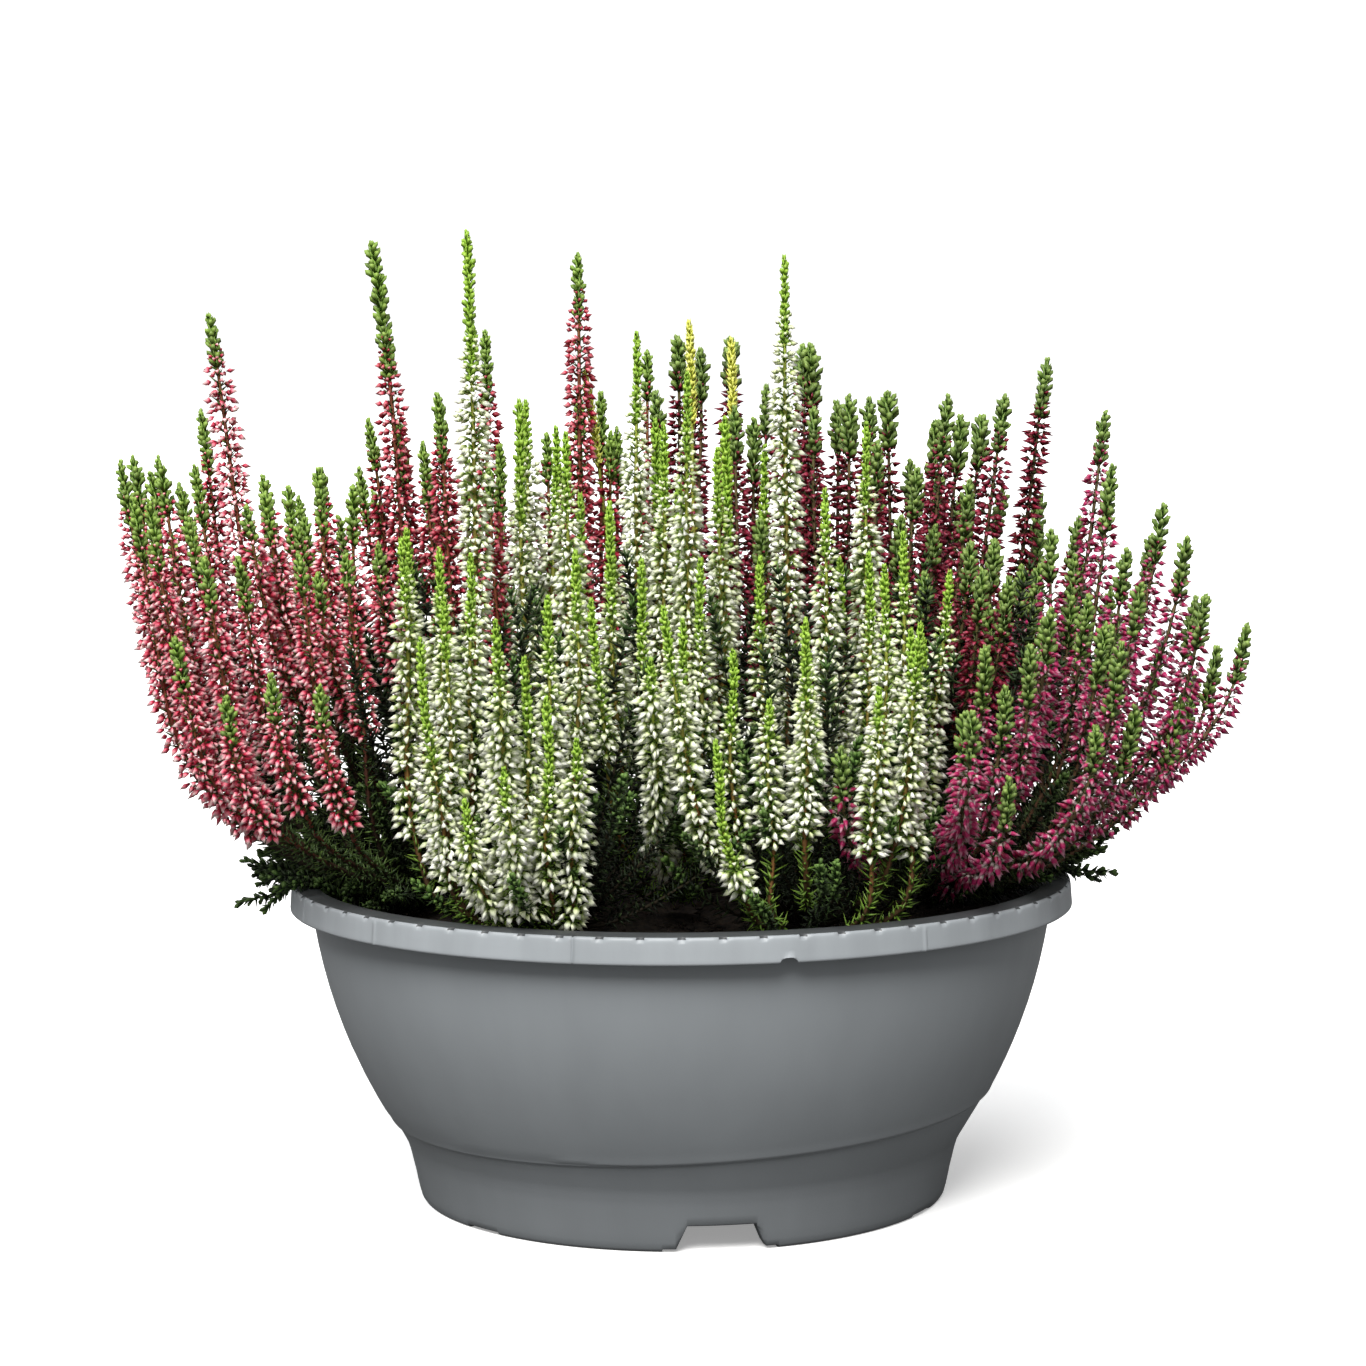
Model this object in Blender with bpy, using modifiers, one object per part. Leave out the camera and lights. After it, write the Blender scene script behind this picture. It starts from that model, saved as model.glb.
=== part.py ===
# Potted heather: a round plastic bowl, potting soil, seven low bushy crowns and fifty
# flowering shoots. Metres, +Z up. The bowl's axis is the Z axis and it stands on z = 0.
# The photograph's view looks along +Y, so front is -Y and the view's right is +X.

import math

import bmesh
import bpy
import numpy as np
from mathutils import Vector

# Bowl
RIM_RADIUS = 0.1350
RIM_TOP = 0.1106
RIM_SKIRT_BOTTOM = 0.1015
RIM_PLATE_UNDERSIDE = 0.1080
RIM_SKIRT_INNER = 0.1334
RIM_INNER = 0.1262
WALL_ARC_RADIUS = 0.1810
WALL_ARC_CENTRE_R = -0.0519
WALL_ARC_CENTRE_Z = 0.1242
WALL_THICKNESS = 0.0018
WALL_TOP = 0.1040
SKIN = 0.0010
SKIN_EMBEDDED = 0.0006
LEDGE_HEIGHT = 0.0333
LEDGE_RISE_TO_RIGHT = 0.0457
LEDGE_RISE_TO_BACK = 0.0184
FOOT_RING_TOP_RADIUS = 0.0955
FOOT_RING_TOP = 0.0183
FOOT_RADIUS = 0.0908
FOOT_INNER = 0.0872
FLOOR_UNDERSIDE = 0.0100
FLOOR_TOP = 0.0118
BOWL_STEPS = 64

# Feet: low blocks under the foot ring, with gaps, and two drainage cut-outs
FOOT_HEIGHT = 0.0010
CUT_OUT_ANGLE = math.radians(-82.2)
CUT_OUT_HEIGHT = 0.0091
CUT_OUT_TOP_WIDTH = 0.0220
CUT_OUT_FOOT_WIDTH = 0.0297
FOOT_GAPS = ((0, 0.0376), (55, 0.0150), (125, 0.0150), (180, 0.0376), (-125, 0.0150), (-55, 0.0150))

# Soil and crowns
GAP = 0.0003
SOIL_TOP = 0.0997
CROWN_BASE = SOIL_TOP + GAP
CROWN_RADIUS = 0.0380
CROWN_SPACING = 0.0820

# Shoots
SHOOT_SEAT = 0.00048
SHOOT_POINTS = 10
SHOOT_RADII = ((0.0, 0.0013), (0.12, 0.0016), (0.3, 0.0050), (0.7, 0.0050), (0.9, 0.0032), (1.0, 0.0008))
FLATTEST_START = math.radians(28)
FOOT_SHARE = 0.88
SPREAD = 0.074
SHORT_BOW = 0.12
LONG_BOW = 0.40
LEAN = 0.16
TIP_BOW = 0.45

# One crown stands in the middle and six round it, each at an angle from +X. Each tip is
# (right, back, up) in millimetres.
PLANTS = {
    "red_left": {
        "crown": (CROWN_SPACING, 180),
        "leaf": (0.10, 0.20, 0.05),
        "flower": (0.62, 0.14, 0.22),
        "tips": (
            (-190, -10, 253), (-193, 35, 254), (-172, -65, 242), (-168, -25, 246),
            (-170, 45, 270), (-161, 5, 304), (-136, -52, 244), (-127, 40, 250),
        ),
    },
    "red_back": {
        "crown": (CROWN_SPACING, 120),
        "leaf": (0.07, 0.15, 0.04),
        "flower": (0.50, 0.06, 0.12),
        "tips": (
            (-107, 30, 329), (-86, 55, 275), (-68, 35, 298), (-35, 35, 325),
            (-157, 102, 215), (-108, 140, 205), (-54, 142, 208),
        ),
    },
    "white_front": {
        "crown": (CROWN_SPACING, 240),
        "leaf": (0.20, 0.36, 0.06),
        "flower": (0.84, 0.86, 0.74),
        "tips": (
            (-89, -60, 233), (-66, -95, 226), (-56, -138, 208), (-41, -115, 214),
            (-37, -50, 264), (-70, -30, 330), (-53, 15, 274),
        ),
    },
    "white_middle": {
        "crown": (0, 0),
        "leaf": (0.20, 0.36, 0.06),
        "flower": (0.82, 0.85, 0.70),
        "tips": ((-23, -40, 240), (-14, -5, 297), (-5, -25, 266), (3, -60, 283)),
    },
    "white_right": {
        "crown": (CROWN_SPACING, 300),
        "leaf": (0.20, 0.36, 0.06),
        "flower": (0.84, 0.86, 0.74),
        "tips": (
            (36, -20, 322), (48, -55, 245), (63, -30, 266), (39, -122, 206),
            (73, -65, 231), (75, -115, 205), (90, -42, 217), (-5, -120, 211),
        ),
    },
    "purple_right": {
        "crown": (CROWN_SPACING, 0),
        "leaf": (0.10, 0.19, 0.05),
        "flower": (0.48, 0.07, 0.26),
        "tips": (
            (118, -92, 207), (135, -45, 198), (169, 15, 236), (172, -20, 226),
            (173, -55, 209), (194, -10, 195), (151, 35, 268), (90, -130, 178),
        ),
    },
    "crimson_back": {
        "crown": (CROWN_SPACING, 60),
        "leaf": (0.08, 0.14, 0.05),
        "flower": (0.34, 0.03, 0.12),
        "tips": (
            (19, 65, 295), (48, 60, 292), (95, 30, 274), (116, 40, 274),
            (133, 60, 286), (4, 140, 208), (66, 142, 204), (151, 108, 213),
        ),
    },
}


def clear_scene():
    for obj in list(bpy.data.objects):
        bpy.data.objects.remove(obj, do_unlink=True)


def make_collection(name):
    collection = bpy.data.collections.new(name)
    bpy.context.scene.collection.children.link(collection)
    return collection


def make_material(name, colour, roughness):
    material = bpy.data.materials.new(name)
    material.use_nodes = True
    shader = material.node_tree.nodes["Principled BSDF"]
    shader.inputs["Base Color"].default_value = (*colour, 1.0)
    shader.inputs["Roughness"].default_value = roughness
    shader.inputs["Metallic"].default_value = 0.0
    return material


def place(obj, collection, material=None):
    collection.objects.link(obj)
    if material:
        obj.data.materials.append(material)
    return obj


def as_cutter(obj):
    obj.hide_render = True
    obj.display_type = "WIRE"
    return obj


def turned(name, profile, closed, steps):
    """An object whose (radius, height) profile is turned about the Z axis."""
    count = len(profile)
    edges = [(i, i + 1) for i in range(count - 1)]
    if closed:
        edges.append((count - 1, 0))
    mesh = bpy.data.meshes.new(name)
    mesh.from_pydata([(r, 0.0, z) for r, z in profile], edges, [])
    obj = bpy.data.objects.new(name, mesh)
    screw = obj.modifiers.new("turn", "SCREW")
    screw.axis = "Z"
    screw.angle = math.tau
    screw.steps = steps
    screw.render_steps = steps
    screw.use_merge_vertices = True
    screw.merge_threshold = 0.00001
    screw.use_smooth_shade = True
    return obj


def block(name, length, width, height, top_width=None):
    """A block on its own z = 0, length along X. top_width narrows its upper face across Y."""
    mesh = bpy.data.meshes.new(name)
    shape = bmesh.new()
    bmesh.ops.create_cube(shape, size=1.0)
    for corner in shape.verts:
        across = top_width if top_width and corner.co.z > 0 else width
        corner.co = Vector((corner.co.x * length, corner.co.y * across, (corner.co.z + 0.5) * height))
    shape.to_mesh(mesh)
    shape.free()
    return bpy.data.objects.new(name, mesh)


def boolean(obj, other, operation):
    modifier = obj.modifiers.new(operation.lower() + " " + other.name, "BOOLEAN")
    modifier.operation = operation
    modifier.solver = "EXACT"
    modifier.object = other


def wall_radius(z, inset=0.0):
    """The wall bulges as an arc of a circle; inset moves it inwards."""
    reach = (WALL_ARC_RADIUS - inset) ** 2 - (z - WALL_ARC_CENTRE_Z) ** 2
    return WALL_ARC_CENTRE_R + math.sqrt(reach)


def wall_stretch(z_from, z_to, inset, count):
    return [(wall_radius(z, inset), z) for z in np.linspace(z_from, z_to, count)]


def bowl_profile():
    """From the floor's top on the axis, up the inside, over the rim and down the outside."""
    wall_inset = SKIN + WALL_THICKNESS
    inner_corner = 0.0045
    edge_round = 0.0010
    inside = [(0.0, FLOOR_TOP), (FOOT_INNER - inner_corner, FLOOR_TOP)]
    inside.append((FOOT_INNER + 0.0018, FLOOR_TOP + inner_corner))
    inside += wall_stretch(LEDGE_HEIGHT - 0.0050, WALL_TOP, wall_inset, 7)
    rim = [
        (RIM_INNER, RIM_TOP - 0.0006),
        (RIM_INNER + edge_round, RIM_TOP),
        (RIM_RADIUS - 1.5 * edge_round, RIM_TOP - 0.0004),
        (RIM_RADIUS, RIM_TOP - 0.0016),
        (RIM_RADIUS, RIM_SKIRT_BOTTOM),
        (RIM_SKIRT_INNER, RIM_SKIRT_BOTTOM),
        (RIM_SKIRT_INNER, RIM_PLATE_UNDERSIDE),
    ]
    outside = [(wall_radius(RIM_PLATE_UNDERSIDE, SKIN), RIM_PLATE_UNDERSIDE)]
    outside += wall_stretch(WALL_TOP, LEDGE_HEIGHT - 0.0040, SKIN, 7)
    foot = [
        (FOOT_RING_TOP_RADIUS, FOOT_RING_TOP),
        (FOOT_RADIUS + 0.0004, 0.0026),
        (FOOT_RADIUS, 0.0010),
        (FOOT_RADIUS - 0.0008, 0.0),
        (FOOT_INNER, 0.0),
        (FOOT_INNER, FLOOR_UNDERSIDE),
        (0.0, FLOOR_UNDERSIDE),
    ]
    return inside + rim + outside + foot


def make_skin():
    """The upper wall stands slightly proud, down to an edge that lies in a tilted plane."""
    outer = wall_stretch(RIM_PLATE_UNDERSIDE + 0.0005, LEDGE_HEIGHT - 0.0110, 0.0, 9)
    inner = wall_stretch(LEDGE_HEIGHT - 0.0110, RIM_PLATE_UNDERSIDE + 0.0005, SKIN + SKIN_EMBEDDED, 9)
    skin = turned("upper_wall_skin", outer + inner, True, BOWL_STEPS)
    below = block("below_ledge", 0.4, 0.4, 0.05)
    up = Vector((-LEDGE_RISE_TO_RIGHT, -LEDGE_RISE_TO_BACK, 1.0)).normalized()
    below.rotation_euler = up.to_track_quat("Z", "Y").to_euler()
    below.location = Vector((0.0, 0.0, LEDGE_HEIGHT)) - up * 0.05
    boolean(skin, below, "DIFFERENCE")
    return as_cutter(skin), as_cutter(below)


def turn_to(obj, angle, radius, z):
    obj.rotation_euler = (0.0, 0.0, angle)
    obj.location = (radius * math.cos(angle), radius * math.sin(angle), z)
    return obj


def foot_cutters():
    """Two trapezoid cut-outs through the foot ring, and the gaps between its low feet."""
    middle = (FOOT_INNER + FOOT_RADIUS) / 2
    reach = 0.020
    below = 0.002
    cutters = []
    slope = (CUT_OUT_FOOT_WIDTH - CUT_OUT_TOP_WIDTH) / CUT_OUT_HEIGHT
    for number in range(2):
        width = CUT_OUT_FOOT_WIDTH + slope * below
        cutter = block(f"cut_out_{number + 1}", reach, width, CUT_OUT_HEIGHT + below, CUT_OUT_TOP_WIDTH)
        cutters.append(turn_to(cutter, CUT_OUT_ANGLE + number * math.pi, middle, -below))
    for number, (degrees, width) in enumerate(FOOT_GAPS):
        cutter = block(f"foot_gap_{number + 1}", reach, width, FOOT_HEIGHT + below)
        cutters.append(turn_to(cutter, CUT_OUT_ANGLE + math.radians(degrees), middle, -below))
    return [as_cutter(cutter) for cutter in cutters]


def make_bowl(parts, cutters):
    plastic = make_material("grey_plastic", (0.19, 0.20, 0.21), 0.42)
    bowl = place(turned("planter_bowl", bowl_profile(), False, BOWL_STEPS), parts, plastic)
    skin, below = make_skin()
    place(below, cutters)
    boolean(bowl, place(skin, cutters), "UNION")
    for cutter in foot_cutters():
        boolean(bowl, place(cutter, cutters), "DIFFERENCE")
    return bowl


def make_soil(parts):
    """Fills the bowl up to the crowns, a gap away from its floor and wall."""
    dark = make_material("potting_soil", (0.025, 0.018, 0.013), 0.95)
    inset = SKIN + WALL_THICKNESS + GAP
    profile = [(0.0, SOIL_TOP)]
    profile += wall_stretch(SOIL_TOP, LEDGE_HEIGHT - 0.0050, inset, 7)
    profile.append((FOOT_INNER + 0.0010, FLOOR_TOP + 0.0045 + GAP))
    profile.append((FOOT_INNER - 0.0052, FLOOR_TOP + GAP))
    profile.append((0.0, FLOOR_TOP + GAP))
    return place(turned("potting_soil", profile, False, BOWL_STEPS), parts, dark)


def crown_centre(crown):
    distance, degrees = crown
    angle = math.radians(degrees)
    return Vector((distance * math.cos(angle), distance * math.sin(angle), CROWN_BASE))


def make_crown(name, centre, material, parts):
    """A low dome of leafy twigs that stands on the soil."""
    mesh = bpy.data.meshes.new(name)
    shape = bmesh.new()
    bmesh.ops.create_uvsphere(shape, u_segments=20, v_segments=12, radius=CROWN_RADIUS)
    everything = shape.verts[:] + shape.edges[:] + shape.faces[:]
    bmesh.ops.bisect_plane(
        shape, geom=everything, dist=0.00001, plane_co=(0, 0, 0), plane_no=(0, 0, 1), clear_inner=True
    )
    bmesh.ops.holes_fill(shape, edges=[edge for edge in shape.edges if edge.is_boundary])
    bmesh.ops.recalc_face_normals(shape, faces=shape.faces[:])
    shape.to_mesh(mesh)
    shape.free()
    mesh.shade_smooth()
    mesh.set_sharp_from_angle(angle=math.radians(50))
    crown = place(bpy.data.objects.new(name, mesh), parts, material)
    crown.location = centre
    return crown


def shoot_axis(centre, tip):
    """A cubic curve from the dome's surface to the tip. The foot lies under the tip, or as
    near to that as the dome reaches. Only a tip that stands far beyond its foot makes the
    shoot bow outwards much; near the tip it stands almost upright."""
    out = Vector((tip.x - centre.x, tip.y - centre.y, 0.0))
    distance = out.length
    out.normalize()
    foothold = min(distance * FOOT_SHARE, CROWN_RADIUS * math.cos(FLATTEST_START))
    rise = math.acos(foothold / CROWN_RADIUS)
    leave = out * math.cos(rise) + Vector((0.0, 0.0, math.sin(rise)))
    foot = centre + leave * (CROWN_RADIUS + SHOOT_SEAT)
    length = (tip - foot).length
    beyond = min(1.0, (distance - foothold) / SPREAD)
    upright = (out * LEAN * min(1.0, 2 * beyond) + Vector((0.0, 0.0, 1.0))).normalized()
    near_foot = foot + leave * length * (SHORT_BOW + LONG_BOW * beyond**3)
    near_tip = tip - upright * length * TIP_BOW
    points = []
    for t in np.linspace(0.0, 1.0, SHOOT_POINTS):
        s = 1.0 - t
        points.append(foot * s**3 + near_foot * 3 * s * s * t + near_tip * 3 * s * t * t + tip * t**3)
    return points


def make_shoot(name, points, material, parts):
    """A thin foot, a fat middle where the flowers sit and a pointed tip."""
    curve = bpy.data.curves.new(name, "CURVE")
    curve.dimensions = "3D"
    curve.bevel_depth = 0.001
    curve.bevel_resolution = 1
    curve.use_fill_caps = True
    spline = curve.splines.new("POLY")
    spline.points.add(len(points) - 1)
    along, radii = zip(*SHOOT_RADII)
    for i, point in enumerate(points):
        spline.points[i].co = (*point, 1.0)
        radius = float(np.interp(i / (len(points) - 1), along, radii))
        spline.points[i].radius = radius / curve.bevel_depth
        spline.points[i].tilt = 0.0
    spline.use_smooth = True
    return place(bpy.data.objects.new(name, curve), parts, material)


def make_plants(parts):
    for plant, made in PLANTS.items():
        leaves = make_material(plant + "_leaves", made["leaf"], 0.6)
        flowers = make_material(plant + "_flowers", made["flower"], 0.55)
        centre = crown_centre(made["crown"])
        make_crown(plant + "_crown", centre, leaves, parts)
        for number, tip in enumerate(made["tips"]):
            points = shoot_axis(centre, Vector(tip) / 1000)
            make_shoot(f"{plant}_shoot_{number + 1}", points, flowers, parts)


def main():
    clear_scene()
    parts = make_collection("potted_heather")
    cutters = make_collection("cutters")
    make_bowl(parts, cutters)
    make_soil(parts)
    make_plants(parts)


main()
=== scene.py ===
import bmesh
import bpy
import math
import numpy as np
from mathutils import Matrix, Vector


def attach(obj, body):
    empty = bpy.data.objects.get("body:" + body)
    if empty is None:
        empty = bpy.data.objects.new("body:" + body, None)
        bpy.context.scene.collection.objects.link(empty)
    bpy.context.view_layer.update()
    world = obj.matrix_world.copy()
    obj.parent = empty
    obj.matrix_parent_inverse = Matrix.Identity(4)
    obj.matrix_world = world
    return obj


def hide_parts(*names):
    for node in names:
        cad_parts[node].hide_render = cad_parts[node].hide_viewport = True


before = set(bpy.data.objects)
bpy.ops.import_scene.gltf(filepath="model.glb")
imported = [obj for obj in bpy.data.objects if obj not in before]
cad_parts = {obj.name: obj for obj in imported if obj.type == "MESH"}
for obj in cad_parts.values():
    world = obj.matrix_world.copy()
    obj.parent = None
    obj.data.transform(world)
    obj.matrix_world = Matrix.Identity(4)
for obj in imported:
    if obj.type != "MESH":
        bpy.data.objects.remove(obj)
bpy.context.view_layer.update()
print("packed planter loaded")

sceneNow = bpy.context.scene
sceneNow.view_settings.view_transform = "Standard"
sceneNow.view_settings.look = "None"
mm = 0.001
plainWhite = (1, 1, 1, 1)


def tone(red, green, blue):
    # screen colour 0-255 to scene linear, by the sRGB curve
    c = np.array([red, green, blue]) / 255
    c = np.where(c <= 0.04045, c / 12.92, ((c + 0.055) / 1.055) ** 2.4)
    return (float(c[0]), float(c[1]), float(c[2]), 1.0)


def smooth(x, low, high):
    # 0 below low, 1 above high, with a soft S between
    t = np.clip((x - low) / (high - low), 0, 1)
    return t * t * (3 - 2 * t)


def curve(x, shape):
    # reads a curve of (places, values) at x, by straight lines between its points
    return np.interp(x, shape[0], shape[1])


# nodes

def newMaterial(name):
    # a material with its node tree and its shader
    material = bpy.data.materials.new(name)
    material.use_nodes = True
    return material, material.node_tree, material.node_tree.nodes["Principled BSDF"]


def feed(tree, node, inputs):
    # links an input to another node's output, or sets it to a value
    for socket, value in inputs.items():
        if isinstance(value, bpy.types.NodeSocket):
            tree.links.new(value, node.inputs[socket])
        else:
            node.inputs[socket].default_value = value
    return node


def addNode(tree, kind, inputs):
    # a new shader node with its inputs fed
    return feed(tree, tree.nodes.new("ShaderNode" + kind), inputs)


def noise(tree, place, scale, detail):
    # a cloudy value about 0.5 by place
    return addNode(tree, "TexNoise", {"Vector": place, "Scale": scale, "Detail": detail}).outputs[0]


def stretched(tree, place, scale):
    # each coordinate of a place times its own scale
    return addNode(tree, "Mapping", {"Vector": place, "Scale": scale}).outputs[0]


def ranged(tree, value, before, after):
    # carries the range before over to the range after
    limits = dict(zip(("From Min", "From Max", "To Min", "To Max"), (*before, *after)))
    return addNode(tree, "MapRange", {"Value": value, **limits}).outputs[0]


def ramped(tree, value, stops):
    # a colour for each value from 0 to 1; stops are (place, linear colour)
    ramp = addNode(tree, "ValToRGB", {0: value})
    elements = ramp.color_ramp.elements
    while len(elements) < len(stops):
        elements.new(0.5)
    for element, (place, colour) in zip(elements, stops):
        element.position = place
        element.color = colour
    return ramp.outputs[0]


def mixed(tree, factor, first, second, way="MIX"):
    # first + factor * (second - first), or first * second at factor 1 for MULTIPLY
    mix = tree.nodes.new("ShaderNodeMix")
    mix.data_type = "RGBA"
    mix.blend_type = way
    return feed(tree, mix, {"Factor": factor, "A": first, "B": second}).outputs["Result"]


def scaled(tree, colour, level):
    # each channel of a colour times a level
    product = tree.nodes.new("ShaderNodeVectorMath")
    product.operation = "SCALE"
    return feed(tree, product, {0: colour, "Scale": level}).outputs[0]


def bumped(tree, height, strength, distance):
    # tilts the surface by the slope of height over distance metres
    return addNode(tree, "Bump", {"Height": height, "Strength": strength, "Distance": distance}).outputs[0]


# camera, lights and floor

# how far back and high it stands in metres, and how it is turned in degrees
cameraLook = {
    "lens": 89.6, "sensor": 36.0, "near": 0.05, "back": 1.1707, "height": 0.2819,
    "pitch": 5.12, "roll": 0.35, "yaw": 0.052,
}


def makeCamera():
    # its placing = shift * turn about the upright * tilt up from straight down * roll about the view
    data = bpy.data.cameras.new("camera")
    data.lens = cameraLook["lens"]
    data.sensor_width = cameraLook["sensor"]
    data.clip_start = cameraLook["near"]
    camera = bpy.data.objects.new("camera", data)
    sceneNow.collection.objects.link(camera)
    place = Matrix.Translation((0, -cameraLook["back"], cameraLook["height"]))
    turn = Matrix.Rotation(math.radians(-cameraLook["yaw"]), 4, "Z")
    tilt = Matrix.Rotation(math.radians(90 - cameraLook["pitch"]), 4, "X")
    roll = Matrix.Rotation(math.radians(-cameraLook["roll"]), 4, "Z")
    camera.matrix_world = place @ turn @ tilt @ roll
    sceneNow.camera = camera


# room: the even light all round; roomSeen: how bright the camera sees it; spread: a sun's angle in degrees
lightLook = {
    "room": 0.50, "roomSeen": 1.2,
    "suns": {
        "key": {"strength": 4.45, "spread": 34, "from": (-0.14, -0.655, 0.745), "tint": (1.0, 0.99, 0.97)},
        "top": {"strength": 0.9, "spread": 50, "from": (-0.50, 0.20, 0.84), "tint": (0.97, 0.985, 1.0)},
    },
}


def makeLights():
    # the room shines evenly, but the camera sees it brighter; each sun shines from its place to the middle
    world = bpy.data.worlds.new("room")
    sceneNow.world = world
    world.use_nodes = True
    tree = world.node_tree
    room = feed(tree, tree.nodes["Background"], {"Color": plainWhite, "Strength": lightLook["room"]})
    seen = addNode(tree, "Background", {"Color": plainWhite, "Strength": lightLook["roomSeen"]})
    path = addNode(tree, "LightPath", {})
    mix = addNode(tree, "MixShader", {
        0: path.outputs["Is Camera Ray"], 1: room.outputs[0], 2: seen.outputs[0],
    })
    feed(tree, tree.nodes["World Output"], {"Surface": mix.outputs[0]})
    for name, look in lightLook["suns"].items():
        sun = bpy.data.lights.new(name, "SUN")
        sun.energy = look["strength"]
        sun.angle = math.radians(look["spread"])
        sun.color = look["tint"]
        lamp = bpy.data.objects.new(name, sun)
        sceneNow.collection.objects.link(lamp)
        lamp.rotation_euler = Vector(look["from"]).to_track_quat("Z", "Y").to_euler()


# seen and bounce: its brightness for the camera and for the light that it throws up at the bowl
floorLook = {"half": 30, "seen": 0.98, "bounce": 0.12, "glow": 0.3, "rough": 0.9}


def makeFloor():
    # a square whose paint is bright for the camera and dark for other rays, so that it throws little light up
    half = floorLook["half"]
    mesh = bpy.data.meshes.new("floor")
    corners = [(-half, -half, 0), (half, -half, 0), (half, half, 0), (-half, half, 0)]
    mesh.from_pydata(corners, [], [(0, 1, 2, 3)])
    floor = bpy.data.objects.new("floor", mesh)
    sceneNow.collection.objects.link(floor)
    paint, tree, shader = newMaterial("pale floor")
    seen = addNode(tree, "LightPath", {}).outputs["Is Camera Ray"]
    feed(tree, shader, {
        "Base Color": ranged(tree, seen, (0, 1), (floorLook["bounce"], floorLook["seen"])),
        "Emission Strength": ranged(tree, seen, (0, 1), (0, floorLook["glow"])),
        "Emission Color": plainWhite, "Roughness": floorLook["rough"], "Specular IOR Level": 0.0,
    })
    mesh.materials.append(paint)


# meshes from whole arrays

uvName = "OFBake"
allPieces = []


def addMesh(name, chunks, materials, withUv=True):
    # joins chunks into one smooth mesh; a chunk is (points, faces, uv per point, slot), and its faces all
    # have the same number of corners
    starts = np.cumsum([0] + [len(c[0]) for c in chunks[:-1]])
    points = np.concatenate([c[0] for c in chunks])
    corners = np.concatenate([(c[1] + s).ravel() for c, s in zip(chunks, starts)]).astype(np.int32)
    sizes = np.concatenate([np.full(len(c[1]), c[1].shape[1]) for c in chunks]).astype(np.int32)
    slots = np.concatenate([np.full(len(c[1]), c[3]) for c in chunks]).astype(np.int32)
    mesh = bpy.data.meshes.new(name)
    mesh.vertices.add(len(points))
    mesh.vertices.foreach_set("co", points.astype(np.float32).ravel())
    mesh.loops.add(len(corners))
    mesh.loops.foreach_set("vertex_index", corners)
    mesh.polygons.add(len(sizes))
    mesh.polygons.foreach_set("loop_start", (np.cumsum(sizes) - sizes).astype(np.int32))
    mesh.polygons.foreach_set("material_index", slots)
    mesh.polygons.foreach_set("use_smooth", np.full(len(sizes), True))
    if withUv:
        uv = np.concatenate([c[2] for c in chunks]).astype(np.float32)
        mesh.uv_layers.new(name=uvName).data.foreach_set("uv", uv[corners].ravel())
    mesh.update(calc_edges=True)
    mesh.validate()
    for material in materials:
        mesh.materials.append(material)
    piece = bpy.data.objects.new(name, mesh)
    sceneNow.collection.objects.link(piece)
    allPieces.append(piece)
    return piece


def triangleCount(piece):
    # a face of n corners makes n - 2 triangles
    corners = np.empty(len(piece.data.polygons), np.int32)
    piece.data.polygons.foreach_get("loop_total", corners)
    return int((corners - 2).sum())


def closeSeams(piece):
    # welds points that meet, such as those of a pole, and turns all faces outwards
    work = bmesh.new()
    work.from_mesh(piece.data)
    bmesh.ops.remove_doubles(work, verts=work.verts[:], dist=0.004 * mm)
    bmesh.ops.recalc_face_normals(work, faces=work.faces[:])
    work.to_mesh(piece.data)
    work.free()


def gridFaces(rows, columns):
    # quads between neighbouring rows of a grid of points, each row closed into a ring
    i, j = np.meshgrid(np.arange(rows - 1), np.arange(columns), indexing="ij")
    k = (j + 1) % columns
    corners = [i * columns + j, i * columns + k, (i + 1) * columns + k, (i + 1) * columns + j]
    return np.stack(corners, -1).reshape(-1, 4)


def unit(v):
    # each vector over its length
    return v / np.maximum(np.linalg.norm(v, axis=-1, keepdims=True), 1e-9)


# slant: how much further along the colour strip every corner after a ring's second one is
dartLook = {"slant": 0.06}


def dart(sides, rings, pointed):
    # a closed shape along +Z from 0 to 1: a point or a flat fan at the foot, rings of (height, radius), a
    # point. The corners of a ring take turns at the low and the high edge of the colour strip, so that each
    # face has some width there
    i = np.arange(sides)
    k = (i + 1) % sides
    turn = i * math.tau / sides
    height, radius = np.array(rings, float).T[:, :, None]
    points = np.stack([radius * np.cos(turn), radius * np.sin(turn), height + 0 * turn], -1).reshape(-1, 3)
    edge = np.where((i == sides - 1) & (sides % 2 == 1), 0.5, i % 2)
    strip = np.stack([height + dartLook["slant"] * (i > 1), 0 * height + edge], -1).reshape(-1, 2)
    tip = len(points)
    if pointed:
        faces = [np.stack([k, i, 0 * i + tip + 1], -1)]
    else:
        faces = [np.stack([0 * i, i, i - 1], -1)[2:]]
    for r in range(len(rings) - 1):
        a, b = r * sides + i, r * sides + k
        faces += [np.stack([a, b, b + sides], -1), np.stack([a, b + sides, a + sides], -1)]
    faces.append(np.stack([tip - sides + i, tip - sides + k, 0 * i + tip], -1))
    ends = 2 if pointed else 1
    points = np.concatenate([points, [[0, 0, 1], [0, 0, 0]][:ends]])
    strip = np.concatenate([strip, [[1, 0.5], [0, 0.5]][:ends]])
    return points, np.concatenate(faces), strip


frontBud = dart(4, [(0, 0.50), (0.45, 1.0)], False)
middleBud = dart(3, [(0, 0.50), (0.45, 1.12)], False)
backBud = dart(3, [(0.45, 1.2)], True)
farBud = dart(3, [(0.0, 1.25)], False)
needleShape = dart(3, [(0, 1.0)], False)
knobShape = dart(4, [(0.05, 0.62), (0.76, 1.0)], False)
smallKnob = dart(3, [(0.05, 0.72), (0.76, 1.15)], False)
stripInset = 0.03   # of the length of a colour strip, left free at both ends
copySpin = 2.4      # radians between one copy and the next


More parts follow.
